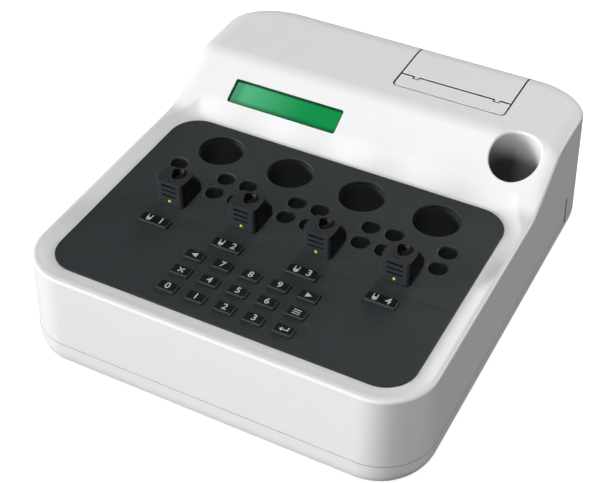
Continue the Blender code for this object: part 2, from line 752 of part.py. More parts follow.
def panel_helpers():
    """Recess for the panel's plate and the opening inside its ledge."""
    bm = bmesh.new()
    add_prism(bm, panel_outline(0), LEDGE_LEVEL, PANEL_LEVEL + CREST_RISE)
    recess = make_helper("panel_recess", bm)
    bm = bmesh.new()
    add_prism(bm, panel_outline(-LEDGE_WIDTH), LEDGE_UNDERSIDE - OVERRUN, PANEL_LEVEL)
    return [recess, make_helper("panel_opening", bm)]


def bay_floor():
    """Level of the wall's edge below the paper cover, clear of its swing."""
    return HINGE_LEVEL - BARREL_RADIUS - HINGE_RECESS - 2 * SEAM


def opening_helpers():
    """Pocket, printer bay, card slot and sockets."""
    bm = bmesh.new()
    outline = circle(POCKET_RADIUS, WELL_SIDES, (POCKET_X, behind_panel_front(POCKET_Y)))
    add_prism(bm, outline, TOP_LEVEL - POCKET_DEPTH, TOP_LEVEL + OVERRUN)
    pocket = make_helper("pocket_cut", bm)
    bm = bmesh.new()
    bay = rounded_rectangle(BAY_LEFT, BAY_RIGHT, behind_panel_front(BAY_FRONT),
                            FOOTPRINT_DEPTH / 2 + OVERRUN + BAY_CORNER, BAY_CORNER, steps=3)
    add_prism(bm, bay, bay_floor(), TOP_LEVEL + OVERRUN)
    bay = make_helper("bay_cut", bm)
    bm = bmesh.new()
    add_slot(bm, PARTING_LEVEL - OVERRUN, SLOT_TOP)
    add_sockets(bm)
    return [pocket, bay, make_helper("wall_cuts", bm)]


def window_outline(grow):
    left = WINDOW_CENTRE_X - WINDOW_WIDTH / 2 - grow
    bottom = WINDOW_RUN - WINDOW_HEIGHT / 2 - grow
    return rounded_rectangle(left, left + WINDOW_WIDTH + 2 * grow, bottom,
                             bottom + WINDOW_HEIGHT + 2 * grow, WINDOW_CORNER + grow, steps=2)


def display_board_place():
    """Level of the display board's face, below the slope."""
    return -WINDOW_RECESS - WINDOW_THICKNESS - SEAM - DISPLAY_FRAME_DEPTH


def display_corners(margin):
    """Places of the display board's corner posts, in the slope's plane."""
    half_width = DISPLAY_BOARD_WIDTH / 2 - margin
    half_height = DISPLAY_BOARD_HEIGHT / 2 - margin
    return [(WINDOW_CENTRE_X + i * half_width, WINDOW_RUN + j * half_height)
            for i in (-1, 1) for j in (-1, 1)]


def pillar_places():
    return [(side * PILLAR_X, behind_panel_front(row)) for side in (-1, 1) for row in PILLAR_ROWS]


def build_housing(slope):
    bm = bmesh.new()
    add_shell(bm, shell_rings(outer_profile(), 0, PARTING_LEVEL))
    housing = make_piece("upper_housing", bm, "white_plastic")
    cut(housing, housing_cavity())
    for helper in panel_helpers() + [dish_helper()] + opening_helpers():
        cut(housing, helper)
    bm = bmesh.new()
    for place in pillar_places():
        outline = circle(PILLAR_RADIUS, SMALL_SIDES, place)
        add_prism(bm, outline, PARTING_LEVEL, LEDGE_UNDERSIDE + LEDGE_THICKNESS / 2)
    join(housing, make_helper("screw_pillars", bm))
    bm = bmesh.new()
    add_prism(bm, window_outline(SEAM), -WALL - OVERRUN, OVERRUN)
    cut(housing, make_helper("window_cut", bm, parent=slope))
    bm = bmesh.new()
    ends = PIN_OVERHANG + SEAM
    add_rod(bm, circle(PIN_RADIUS + RUNNING_CLEARANCE, SMALL_SIDES),
            BAY_LEFT - ends, BAY_RIGHT + ends, hinge_place())
    cut(housing, make_helper("pin_hole", bm))
    bm = bmesh.new()
    for place in display_corners(POST_MARGIN):
        outline = circle(PANEL_POST_RADIUS, SMALL_SIDES, place)
        add_prism(bm, outline, display_board_place() + SEAM, -WALL / 2)
    join(housing, make_helper("display_posts", bm, parent=slope))


def corner_places(left, right, front, back, margin):
    return [(x, y) for x in (left + margin, right - margin) for y in (front + margin, back - margin)]


def block_posts():
    """Places of the posts under the two blocks: the outer corners, and one where they meet."""
    half = BLOCK_WIDTH / 2
    back = behind_panel_front(BLOCK_BACK)
    corners = corner_places(-half, half, behind_panel_front(BLOCK_FRONT), back, POST_MARGIN)
    return corners + [(0, back - POST_MARGIN)]


def stirrer_board_level():
    """Underside of the stirrer board, which hangs clear of the heater."""
    heater_bottom = BLOCK_BOTTOM - SEAM - HEATER_THICKNESS
    return heater_bottom - OVERRUN - STIRRER_BOARD_THICKNESS


def tray_posts(bm):
    """Posts on the tray's floor under everything that it carries."""
    half = STIRRER_BOARD_WIDTH / 2
    groups = (
        (block_posts(), BLOCK_BOTTOM),
        (corner_places(-half, half, behind_panel_front(STIRRER_BOARD_FRONT),
                       behind_panel_front(STIRRER_BOARD_BACK), POST_MARGIN), stirrer_board_level()),
        (corner_places(MAIN_BOARD_LEFT, MAIN_BOARD_RIGHT, behind_panel_front(MAIN_BOARD_FRONT),
                       behind_panel_front(MAIN_BOARD_BACK), POST_MARGIN), MAIN_BOARD_LEVEL),
        (corner_places(SUPPLY_LEFT, SUPPLY_RIGHT, behind_panel_front(SUPPLY_FRONT),
                       behind_panel_front(SUPPLY_BACK), POST_MARGIN), SUPPLY_LEVEL),
    )
    for places, top in groups:
        for place in places:
            add_prism(bm, circle(POST_RADIUS, SMALL_SIDES, place), FLOOR_LEVEL - WALL / 2, top - SEAM)
    for place in pillar_places():
        add_prism(bm, circle(PILLAR_RADIUS, SMALL_SIDES, place), FLOOR_LEVEL - WALL / 2, PARTING_LEVEL - SEAM)


def foot_places():
    return [(side * FOOT_X, behind_panel_front(y)) for y in (FOOT_FRONT_Y, FOOT_BACK_Y) for side in (-1, 1)]


def build_tray():
    rings = []
    for step in range(EDGE_STEPS + 1):
        angle = math.pi / 2 * (1 - step / EDGE_STEPS)
        level = TRAY_LEVEL + TRAY_EDGE * (1 - math.sin(angle))
        rings.append(level_ring(level, TRAY_EDGE * (1 - math.cos(angle))))
    rings.append(level_ring(PARTING_LEVEL - SEAM, 0))
    bm = bmesh.new()
    add_loft(bm, rings)
    tray = make_piece("base_tray", bm, "white_plastic")
    bm = bmesh.new()
    add_loft(bm, [level_ring(FLOOR_LEVEL, WALL), level_ring(PARTING_LEVEL + OVERRUN, WALL)])
    cut(tray, make_helper("tray_room", bm))
    bm = bmesh.new()
    for place in foot_places():
        outline = circle(FOOT_STUD_RADIUS + SEAM, SMALL_SIDES, place)
        add_prism(bm, outline, TRAY_LEVEL - OVERRUN, FLOOR_LEVEL + OVERRUN)
    add_slot(bm, SLOT_TOP - SLOT_HEIGHT, PARTING_LEVEL + OVERRUN)
    cut(tray, make_helper("tray_cuts", bm))
    bm = bmesh.new()
    tray_posts(bm)
    join(tray, make_helper("tray_posts", bm))


def build_feet():
    names = ("foot_front_left", "foot_front_right", "foot_back_left", "foot_back_right")
    top = TRAY_LEVEL - SEAM
    for name, (x, y) in zip(names, foot_places()):
        bm = bmesh.new()
        pad = circle(FOOT_RADIUS, SMALL_SIDES)
        stud = circle(FOOT_STUD_RADIUS, SMALL_SIDES)
        rings = ((pad, 0), (pad, top), (stud, top), (stud, top + FOOT_STUD_LENGTH))
        add_loft(bm, [[Vector((px, py, z)) for px, py in outline] for outline, z in rings])
        make_piece(name, bm, "foot_rubber", (x, y, 0))


# Panel, keys and what lies under them

def keypad_board_top():
    """Top of the keypad board: lip, travel and mat below the panel."""
    lip_bottom = PANEL_LEVEL - PANEL_THICKNESS - SEAM - KEY_LIP_THICKNESS
    return lip_bottom - KEY_TRAVEL - SEAM - KEY_MAT_THICKNESS - SEAM


def board_corners():
    half = KEYPAD_BOARD_WIDTH / 2
    return corner_places(-half, half, behind_panel_front(KEYPAD_BOARD_FRONT),
                         behind_panel_front(KEYPAD_BOARD_BACK), POST_MARGIN)


def build_panel():
    bm = bmesh.new()
    add_prism(bm, panel_outline(-SEAM), PANEL_LEVEL - PANEL_THICKNESS, PANEL_LEVEL)
    panel = make_piece("control_panel", bm, "panel_plastic")
    bm = bmesh.new()
    low = PANEL_LEVEL - PANEL_THICKNESS - OVERRUN
    high = PANEL_LEVEL + OVERRUN
    for x in channel_places():
        well = circle(REAGENT_WELL_RADIUS, WELL_SIDES, (x, behind_panel_front(REAGENT_WELL_Y)))
        add_prism(bm, well, low, high)
        seat = circle(SPIGOT_RADIUS + SEAM, SMALL_SIDES, (x, behind_panel_front(HEAD_Y)))
        add_prism(bm, seat, low, high)
    for place in small_well_places():
        add_prism(bm, circle(SMALL_WELL_RADIUS, SMALL_SIDES, place), low, high)
    for _, x, y, width, depth in key_places():
        outline = [(x + px, y + py) for px, py in key_outline(width, depth, KEY_CLEARANCE)]
        add_prism(bm, outline, low, high)
    cut(panel, make_helper("panel_holes", bm))
    bm = bmesh.new()
    for place in board_corners():
        outline = circle(PANEL_POST_RADIUS, SMALL_SIDES, place)
        add_prism(bm, outline, keypad_board_top() + SEAM, PANEL_LEVEL - PANEL_THICKNESS / 2)
    join(panel, make_helper("panel_posts", bm))


def build_keys():
    lip_top = -PANEL_THICKNESS - SEAM
    for name, x, y, width, depth in key_places():
        cap = key_outline(width, depth, 0)
        lip = key_outline(width, depth, KEY_LIP)
        crown = key_outline(width, depth, -KEY_BEVEL)
        rings = ((lip, lip_top - KEY_LIP_THICKNESS), (lip, lip_top), (cap, lip_top),
                 (cap, KEY_RISE - KEY_BEVEL), (crown, KEY_RISE))
        bm = bmesh.new()
        add_loft(bm, [[Vector((px, py, z)) for px, py in outline] for outline, z in rings])
        make_piece(name, bm, "key_plastic", (x, y, PANEL_LEVEL))


def build_keypad():
    top = keypad_board_top()
    half = KEYPAD_BOARD_WIDTH / 2
    front = behind_panel_front(KEYPAD_BOARD_FRONT)
    back = behind_panel_front(KEYPAD_BOARD_BACK)
    bm = bmesh.new()
    add_box(bm, -half, half, front, back, top - KEYPAD_BOARD_THICKNESS, top)
    make_piece("keypad_board", bm, "circuit_board")
    bm = bmesh.new()
    margin = KEY_MAT_MARGIN
    add_box(bm, margin - half, half - margin, front + margin, back - margin,
            top + SEAM, top + SEAM + KEY_MAT_THICKNESS)
    make_piece("key_mat", bm, "silicone")


# Incubator and measuring channels

def block_wells(left, right):
    """Wells and bores of the channels between two X places."""
    bm = bmesh.new()
    high = BLOCK_TOP + OVERRUN
    for x in channel_places():
        if left < x < right:
            well = circle(REAGENT_WELL_RADIUS, WELL_SIDES, (x, behind_panel_front(REAGENT_WELL_Y)))
            add_prism(bm, well, BLOCK_BOTTOM + REAGENT_WELL_FLOOR, high)
            bore = circle(SPIGOT_RADIUS + SEAM, SMALL_SIDES, (x, behind_panel_front(HEAD_Y)))
            add_prism(bm, bore, BLOCK_BOTTOM - OVERRUN, high)
    for place in small_well_places():
        if left < place[0] < right:
            add_prism(bm, circle(SMALL_WELL_RADIUS, SMALL_SIDES, place), PANEL_LEVEL - SMALL_WELL_DEPTH, high)
    return make_helper("block_wells", bm)


def build_blocks():
    """Two blocks side by side, each for a pair of channels, on one heater."""
    half = BLOCK_WIDTH / 2
    for name, left, right in (("incubator_block_left", -half, -SEAM / 2),
                              ("incubator_block_right", SEAM / 2, half)):
        bm = bmesh.new()
        add_box(bm, left, right, behind_panel_front(BLOCK_FRONT), behind_panel_front(BLOCK_BACK),
                BLOCK_BOTTOM, BLOCK_TOP)
        cut(make_piece(name, bm, "anodised_aluminium"), block_wells(left, right))
    bm = bmesh.new()
    top = BLOCK_BOTTOM - SEAM
    add_box(bm, HEATER_MARGIN - half, half - HEATER_MARGIN, behind_panel_front(HEATER_FRONT),
            behind_panel_front(BLOCK_BACK) - HEATER_MARGIN, top - HEATER_THICKNESS, top)
    make_piece("heater_plate", bm, "heater_film")


def head_outline(back):
    """Outline of a measuring head with its back at a given distance."""
    side_back = back - (HEAD_BACK - HEAD_TOP_BACK) / 2
    right = [(HEAD_FACE_HALF_WIDTH, -HEAD_FRONT), (HEAD_HALF_WIDTH, -HEAD_SHOULDER),
             (HEAD_HALF_WIDTH, side_back), (HEAD_BACK_HALF_WIDTH, back)]
    return right + [(-x, y) for x, y in right[::-1]]


def head_cuts():
    """Cuvette bore with its funnel, the grooves in the face and the lamp's hole."""
    bm = bmesh.new()
    rim = circle(FUNNEL_RADIUS, SMALL_SIDES)
    bore = circle(CUVETTE_RADIUS, SMALL_SIDES)
    rings = ((bore, HEAD_HEIGHT - CUVETTE_DEPTH), (bore, HEAD_HEIGHT - FUNNEL_DEPTH),
             (rim, HEAD_HEIGHT), (rim, HEAD_HEIGHT + OVERRUN))
    add_loft(bm, [[Vector((x, y, z)) for x, y in outline] for outline, z in rings])
    half = GROOVE_WIDTH / 2
    for level in GROOVE_LEVELS:
        add_box(bm, -half, half, -HEAD_FRONT - OVERRUN, GROOVE_DEPTH - HEAD_FRONT,
                level - GROOVE_HEIGHT / 2, level + GROOVE_HEIGHT / 2)
    hole = circle(LAMP_RADIUS + SEAM, SMALL_SIDES, (0, LAMP_LEVEL))
    front = -HEAD_FRONT - OVERRUN
    back = LAMP_LENGTH - HEAD_FRONT
    add_loft(bm, [[Vector((x, y, z)) for x, z in hole] for y in (front, back)])
    return bm


def build_heads():
    for number, x in enumerate(channel_places(), 1):
        place = (x, behind_panel_front(HEAD_Y), PANEL_LEVEL)
        bm = bmesh.new()
        heel = head_outline(HEAD_BACK)
        rings = ((heel, SEAM), (heel, HEAD_HEEL_HEIGHT), (head_outline(HEAD_TOP_BACK), HEAD_HEIGHT))
        add_loft(bm, [[Vector((px, py, z)) for px, py in outline] for outline, z in rings])
        head = make_piece(f"measuring_head_{number}", bm, "head_plastic", place)
        bm = bmesh.new()
        add_prism(bm, circle(SPIGOT_RADIUS, SMALL_SIDES), -SPIGOT_DEPTH, HEAD_HEEL_HEIGHT)
        join(head, make_helper(f"spigot_{number}", bm, parent=head))
        cut(head, make_helper(f"head_cuts_{number}", head_cuts(), parent=head))
        bm = bmesh.new()
        lens = circle(LAMP_RADIUS, SMALL_SIDES)
        add_loft(bm, [[Vector((px, y, z)) for px, z in lens] for y in (-LAMP_PROUD, LAMP_LENGTH - SEAM)])
        make_piece(f"head_lamp_{number}", bm, "lamp_lens", (0, -HEAD_FRONT, LAMP_LEVEL), head)


def motor_top():
    """Level of the motors' faces, with the rotors just under the heads' spigots."""
    return PANEL_LEVEL - SPIGOT_DEPTH - ROTOR_GAP - ROTOR_THICKNESS - ROTOR_LIFT


def build_stirrers():
    half = STIRRER_BOARD_WIDTH / 2
    low = stirrer_board_level()
    bm = bmesh.new()
    add_box(bm, -half, half, behind_panel_front(STIRRER_BOARD_FRONT),
            behind_panel_front(STIRRER_BOARD_BACK), low, low + STIRRER_BOARD_THICKNESS)
    board = make_piece("stirrer_board", bm, "circuit_board")
    cans = bmesh.new()
    holes = bmesh.new()
    for number, x in enumerate(channel_places(), 1):
        place = (x, behind_panel_front(HEAD_Y))
        can = circle(MOTOR_RADIUS, SMALL_SIDES, place)
        add_prism(cans, can, low + STIRRER_BOARD_THICKNESS / 2, motor_top())
        add_prism(holes, circle(ROTOR_SHAFT_RADIUS + RUNNING_CLEARANCE, SMALL_SIDES, place),
                  motor_top() - ROTOR_SHAFT_LENGTH, motor_top() + OVERRUN)
        bm = bmesh.new()
        shaft = circle(ROTOR_SHAFT_RADIUS, SMALL_SIDES)
        disc = circle(ROTOR_RADIUS, SMALL_SIDES)
        rings = ((shaft, SEAM - ROTOR_SHAFT_LENGTH), (shaft, ROTOR_LIFT), (disc, ROTOR_LIFT),
                 (disc, ROTOR_LIFT + ROTOR_THICKNESS))
        add_loft(bm, [[Vector((px, py, z)) for px, py in outline] for outline, z in rings])
        make_piece(f"stirrer_rotor_{number}", bm, "magnet_steel", (*place, motor_top()))
    join(board, make_helper("motor_cans", cans))
    cut(board, make_helper("motor_bearings", holes))


# Screen

def build_display(slope):
    bm = bmesh.new()
    add_prism(bm, window_outline(0), -WINDOW_RECESS - WINDOW_THICKNESS, -WINDOW_RECESS)
    make_piece("display_window", bm, "screen_glass", parent=slope)
    face = display_board_place()
    half_width = DISPLAY_BOARD_WIDTH / 2
    half_height = DISPLAY_BOARD_HEIGHT / 2
    bm = bmesh.new()
    add_box(bm, -half_width, half_width, -half_height, half_height, -DISPLAY_BOARD_THICKNESS, 0)
    module = make_piece("display_module", bm, "circuit_board", (WINDOW_CENTRE_X, WINDOW_RUN, face), slope)
    bm = bmesh.new()
    half_width = DISPLAY_FRAME_WIDTH / 2
    half_height = DISPLAY_FRAME_HEIGHT / 2
    add_box(bm, -half_width, half_width, -half_height, half_height,
            -DISPLAY_BOARD_THICKNESS / 2, DISPLAY_FRAME_DEPTH)
    join(module, make_helper("display_frame", bm, parent=module))


# Printer

def cover_front():
    """Y of the paper cover's front edge."""
    return behind_panel_front(BAY_FRONT) + PANEL_LINE_GAP + STRIP_DEPTH + PAPER_GAP


def rear_edge(drop):
    """Round between the top and the back wall, from the top down, as (y, z)."""
    points = []
    for step in range(EDGE_STEPS, -1, -1):
        angle = math.pi / 2 * step / EDGE_STEPS
        radius = BACK_EDGE - drop
        level = TOP_LEVEL - drop - radius * (1 - math.sin(angle))
        place = wall_place(("back", math.pi / 2), level, drop + radius * (1 - math.cos(angle)))
        points.append((place.y, place.z))
    return points


def platen_place():
    return cover_front() + PLATEN_SETBACK, TOP_LEVEL - PLATEN_DROP


def build_strip():
    """Strip in front of the paper slot, notched for the cover's tongues."""
    left = BAY_LEFT + PANEL_LINE_GAP
    right = BAY_RIGHT - PANEL_LINE_GAP
    front = behind_panel_front(BAY_FRONT) + PANEL_LINE_GAP
    back = front + STRIP_DEPTH
    radius = BAY_CORNER - PANEL_LINE_GAP
    quarter = math.pi / 2
    outline = arc((left + radius, front + radius), radius, 2 * quarter, 3 * quarter, 3)
    outline += arc((right - radius, front + radius), radius, 3 * quarter, 4 * quarter, 3)
    outline.append((right, back))
    half = TONGUE_WIDTH / 2 + TONGUE_CLEARANCE
    notch = back - (TONGUE_LENGTH - PAPER_GAP) - TONGUE_CLEARANCE
    for place in TONGUE_PLACES[::-1]:
        x = BAY_LEFT + place
        outline += [(x + half, back), (x + half, notch), (x - half, notch), (x - half, back)]
    outline.append((left, back))
    bm = bmesh.new()
    add_prism(bm, outline, TOP_LEVEL - STRIP_THICKNESS, TOP_LEVEL)
    make_piece("printer_strip", bm, "white_plastic")


def build_cover():
    """Paper cover with its hinge barrel, tongues and the platen's ears; origin on the hinge."""
    y0, z0 = hinge_place()
    left = BAY_LEFT + PANEL_LINE_GAP
    right = BAY_RIGHT - PANEL_LINE_GAP
    outer = [(cover_front(), TOP_LEVEL)] + rear_edge(0)
    inner = [(cover_front(), TOP_LEVEL - COVER_THICKNESS)] + rear_edge(COVER_THICKNESS)
    outline = [(y - y0, z - z0) for y, z in outer + inner[::-1]]
    bm = bmesh.new()
    add_beam(bm, outline, left, right)
    cover = make_piece("printer_cover", bm, "white_plastic", (0, y0, z0))
    bm = bmesh.new()
    add_rod(bm, circle(BARREL_RADIUS, SMALL_SIDES), left + SEAM, right - SEAM, (0, 0))
    for place in TONGUE_PLACES:
        x = BAY_LEFT + place
        front = cover_front() - y0
        top = TOP_LEVEL - z0 - SEAM
        add_box(bm, x - TONGUE_WIDTH / 2, x + TONGUE_WIDTH / 2, front - TONGUE_LENGTH,
                front + COVER_THICKNESS, top - TONGUE_THICKNESS, top)
    y, z = platen_place()
    for side, start in ((1, left), (-1, right)):
        near = start + side * EAR_INSET
        far = near + side * EAR_THICKNESS
        add_box(bm, min(near, far), max(near, far), y - y0 - EAR_HALF_WIDTH, y - y0 + EAR_HALF_WIDTH,
                z - z0 - EAR_HALF_WIDTH, TOP_LEVEL - COVER_THICKNESS / 2 - z0)
    join(cover, make_helper("cover_fittings", bm, parent=cover))
    bm = bmesh.new()
    for radius, place in ((PIN_RADIUS, (0, 0)), (PLATEN_SHAFT_RADIUS, (y - y0, z - z0))):
        bore = circle(radius + RUNNING_CLEARANCE, SMALL_SIDES)
        add_rod(bm, bore, left - OVERRUN, right + OVERRUN, place)
    cut(cover, make_helper("cover_bores", bm, parent=cover))
    bm = bmesh.new()
    add_rod(bm, circle(PIN_RADIUS, SMALL_SIDES), BAY_LEFT - PIN_OVERHANG, BAY_RIGHT + PIN_OVERHANG, (0, 0))
    make_piece("cover_hinge_pin", bm, "steel", (0, y0, z0))
    return cover


def gear_outline():
    """Toothed wheel with square-cut teeth."""
    outline = []
    step = math.tau / PLATEN_GEAR_TEETH
    root = PLATEN_GEAR_RADIUS - GEAR_TOOTH_DEPTH
    for i in range(PLATEN_GEAR_TEETH):
        for share, radius in zip(TOOTH_SHARES, (root, root, PLATEN_GEAR_RADIUS, PLATEN_GEAR_RADIUS)):
            angle = step * (i + share)
            outline.append((radius * math.cos(angle), radius * math.sin(angle)))
    return outline


def build_platen(cover):
    """Rubber roller on its shaft, with the drive gear at its right end."""
    y0, z0 = hinge_place()
    y, z = platen_place()
    left = BAY_LEFT + PANEL_LINE_GAP + EAR_INSET
    right = BAY_RIGHT - PANEL_LINE_GAP - EAR_INSET
    bm = bmesh.new()
    rubber = circle(PLATEN_RADIUS, SMALL_SIDES)
    shaft = circle(PLATEN_SHAFT_RADIUS, SMALL_SIDES)
    inset = FRAME_INSET + FRAME_WALL + 2 * SEAM
    shaft_end = right + SEAM + PLATEN_GEAR_THICKNESS / 2
    rings = ((shaft, left - SEAM), (shaft, BAY_LEFT + inset), (rubber, BAY_LEFT + inset),
             (rubber, BAY_RIGHT - inset), (shaft, BAY_RIGHT - inset), (shaft, shaft_end))
    add_loft(bm, [[Vector((x, py, pz)) for py, pz in outline] for outline, x in rings])
    platen = make_piece("platen_roller", bm, "platen_rubber", (0, y - y0, z - z0), cover)
    bm = bmesh.new()
    add_beam(bm, gear_outline(), right + SEAM, right + SEAM + PLATEN_GEAR_THICKNESS)
    join(platen, make_helper("platen_gear", bm, parent=platen))


def build_printer_frame():
    """Trough for the paper roll, with side plates and the flange that the strip lies on."""
    left = BAY_LEFT + FRAME_INSET
    right = BAY_RIGHT - FRAME_INSET
    platen_y, platen_z = platen_place()
    centre = (behind_panel_front(TROUGH_Y), PANEL_LEVEL)
    outer = TROUGH_RADIUS + FRAME_WALL
    back = platen_y - PLATEN_RADIUS - PRINT_HEAD_DEPTH - 2 * SEAM
    front = back - FRAME_WALL
    flange_top = TOP_LEVEL - STRIP_THICKNESS - SEAM
    flange_front = behind_panel_front(BAY_FRONT) - FLANGE_REACH
    lip = math.asin(2 * FRAME_WALL / outer)
    outline = [(flange_front, flange_top), (flange_front, flange_top - FLANGE_THICKNESS),
               (front, flange_top - FLANGE_THICKNESS), (front, centre[1] - 2 * FRAME_WALL)]
    outline += arc(centre, outer, lip - math.pi, 0, WELL_SIDES // 2)
    outline += arc(centre, TROUGH_RADIUS, 0, -math.pi, WELL_SIDES // 2)
    outline += [(centre[0] - outer, centre[1]), (centre[0] - outer, centre[1] - FRAME_WALL),
                (back, centre[1] - FRAME_WALL), (back, flange_top)]
    bm = bmesh.new()
    add_beam(bm, outline, left + FRAME_WALL / 2, right - FRAME_WALL / 2)
    frame = make_piece("printer_frame", bm, "frame_plastic")
    notch_front = platen_y - NOTCH_FRONT
    notch_back = platen_y + NOTCH_BACK
    notch_floor = platen_z - NOTCH_FRONT
    shoulder = platen_z + SEAM
    side = [(front, centre[1] - 2 * FRAME_WALL)]
    side += arc(centre, outer, -math.pi * 5 / 6, 0, WELL_SIDES // 3)
    side += [(notch_back + 2 * FRAME_WALL, shoulder), (notch_back, shoulder), (notch_back, notch_floor),
             (notch_front, notch_floor), (notch_front, flange_top), (front, flange_top)]
    bm = bmesh.new()
    add_beam(bm, side, left, left + FRAME_WALL)
    add_beam(bm, side, right - FRAME_WALL, right)
    join(frame, make_helper("frame_sides", bm))


def build_printer_inside():
    left = BAY_LEFT + FRAME_INSET + FRAME_WALL
    right = BAY_RIGHT - FRAME_INSET - FRAME_WALL
    y, z = platen_place()
    bm = bmesh.new()
    front = y - PLATEN_RADIUS - SEAM - PRINT_HEAD_DEPTH
    add_box(bm, left + HEAD_GAP, right - HEAD_GAP, front, front + PRINT_HEAD_DEPTH,
            z - PRINT_HEAD_HEIGHT / 2, z + PRINT_HEAD_HEIGHT / 2)
    make_piece("print_head", bm, "anodised_aluminium")
    middle = (left + right) / 2
    drop = TROUGH_RADIUS - PAPER_RADIUS - SEAM / math.cos(math.pi / WELL_SIDES)
    paper = circle(PAPER_RADIUS, WELL_SIDES)
    core = circle(PAPER_CORE_RADIUS, WELL_SIDES)
    ends = (-PAPER_WIDTH / 2, PAPER_WIDTH / 2)
    bm = bmesh.new()
    add_hoop(bm, [[Vector((x, py, pz)) for py, pz in outline]
                  for outline, x in ((paper, ends[0]), (paper, ends[1]), (core, ends[1]), (core, ends[0]))])
    make_piece("paper_roll", bm, "paper", (middle, behind_panel_front(TROUGH_Y), PANEL_LEVEL - drop))


# Boards, supply and sockets

def build_main_board():
    left = MAIN_BOARD_LEFT
    front = behind_panel_front(MAIN_BOARD_FRONT)
    top = MAIN_BOARD_LEVEL + BOARD_THICKNESS
    bm = bmesh.new()
    add_box(bm, left, MAIN_BOARD_RIGHT, front, behind_panel_front(MAIN_BOARD_BACK), MAIN_BOARD_LEVEL, top)
    board = make_piece("main_board", bm, "circuit_board")
    bm = bmesh.new()
    for x_share, y_share, size in CHIP_SHARES:
        x = left + (MAIN_BOARD_RIGHT - left) * x_share
        y = front + (MAIN_BOARD_BACK - MAIN_BOARD_FRONT) * y_share
        half = (MAIN_BOARD_BACK - MAIN_BOARD_FRONT) * size / 2
        add_box(bm, x - half, x + half, y - half, y + half, top - BOARD_THICKNESS / 2, top + CHIP_HEIGHT)
    join(board, make_helper("chips", bm))


def build_supply():
    front = behind_panel_front(SUPPLY_FRONT)
    back = behind_panel_front(SUPPLY_BACK)
    top = SUPPLY_LEVEL + BOARD_THICKNESS
    bm = bmesh.new()
    add_box(bm, SUPPLY_LEFT, SUPPLY_RIGHT, front, back, SUPPLY_LEVEL, top)
    supply = make_piece("power_supply", bm, "circuit_board")
    bm = bmesh.new()
    sunk = top - BOARD_THICKNESS / 2
    x = (SUPPLY_LEFT + SUPPLY_RIGHT) / 2
    half = TRANSFORMER_SIZE / 2
    y = (front + back) / 2 - SUPPLY_MARGIN
    add_box(bm, x - half, x + half, y - half, y + half, sunk, top + TRANSFORMER_HEIGHT)
    for side in (-1, 1):
        place = (x + side * CAPACITOR_SPREAD, back - SUPPLY_MARGIN - CAPACITOR_RADIUS)
        add_prism(bm, circle(CAPACITOR_RADIUS, SMALL_SIDES, place), sunk, top + CAPACITOR_HEIGHT)
    join(supply, make_helper("supply_parts", bm))


def inlet_face():
    """Y of the mains inlet's outer face, a little inside the back wall's."""
    return back_wall(INLET_LEVEL + INLET_HEIGHT / 2) - INLET_RECESS


def build_inlet():
    face = inlet_face()
    low = INLET_LEVEL + SEAM
    high = INLET_LEVEL + INLET_HEIGHT - SEAM
    middle = (low + high) / 2
    half = INLET_WIDTH / 2 - SEAM
    bm = bmesh.new()
    add_box(bm, INLET_X - half, INLET_X + half, face - INLET_DEPTH, face, low, high)
    inlet = make_piece("power_inlet", bm, "socket_plastic")
    socket_x = INLET_X - INLET_SHIFT
    floor = face - INLET_OPENING_DEPTH
    bm = bmesh.new()
    half = INLET_OPENING_WIDTH / 2
    add_box(bm, socket_x - half, socket_x + half, floor, face + OVERRUN,
            middle - INLET_OPENING_HEIGHT / 2, middle + INLET_OPENING_HEIGHT / 2)
    rocker_x = INLET_X + ROCKER_OFFSET
    room_half = ROCKER_WIDTH / 2 + SEAM
    room_high = ROCKER_HEIGHT / 2 + 2 * SEAM
    add_box(bm, rocker_x - room_half, rocker_x + room_half, face - ROCKER_DEPTH - 2 * SEAM, face + OVERRUN,
            middle - room_high, middle + room_high)
    cut(inlet, make_helper("inlet_rooms", bm))
    bm = bmesh.new()
    pivot = face - ROCKER_PIVOT_DEPTH
    reach = room_half + ROCKER_PIN_LENGTH
    add_rod(bm, circle(ROCKER_PIN_RADIUS + RUNNING_CLEARANCE, SMALL_SIDES),
            rocker_x - reach, rocker_x + reach, (pivot, middle))
    cut(inlet, make_helper("rocker_bearings", bm))
    bm = bmesh.new()
    for x, z in ((-BLADE_PITCH, -BLADE_DROP), (BLADE_PITCH, -BLADE_DROP), (0, BLADE_DROP)):
        add_box(bm, socket_x + x - BLADE_WIDTH / 2, socket_x + x + BLADE_WIDTH / 2, floor - OVERRUN,
                floor + BLADE_LENGTH, middle + z - BLADE_HEIGHT / 2, middle + z + BLADE_HEIGHT / 2)
    join(inlet, make_helper("blades", bm))
    build_rocker((rocker_x, pivot, middle))


def build_rocker(place):
    """Switch rocker about its pins, with its upper half pressed in."""
    half = ROCKER_HEIGHT / 2
    skirt = ROCKER_DEPTH / 3
    outer = ROCKER_PIVOT_DEPTH
    inner = ROCKER_PIVOT_DEPTH - ROCKER_DEPTH
    outline = [(outer, 0), (outer + ROCKER_SPLAY, half), (outer - skirt, half), (inner, skirt),
               (inner, -skirt), (outer - skirt, -half), (outer + ROCKER_SPLAY, -half)]
    bm = bmesh.new()
    add_beam(bm, outline, -ROCKER_WIDTH / 2, ROCKER_WIDTH / 2)
    rocker = make_piece("power_rocker", bm, "socket_plastic", place)
    rocker.rotation_euler = (math.radians(ROCKER_TILT_DEGREES), 0, 0)
    bm = bmesh.new()
    reach = ROCKER_WIDTH / 2 + ROCKER_PIN_LENGTH
    add_rod(bm, circle(ROCKER_PIN_RADIUS, SMALL_SIDES), -reach, reach, (0, 0))
    join(rocker, make_helper("rocker_pins", bm, parent=rocker))


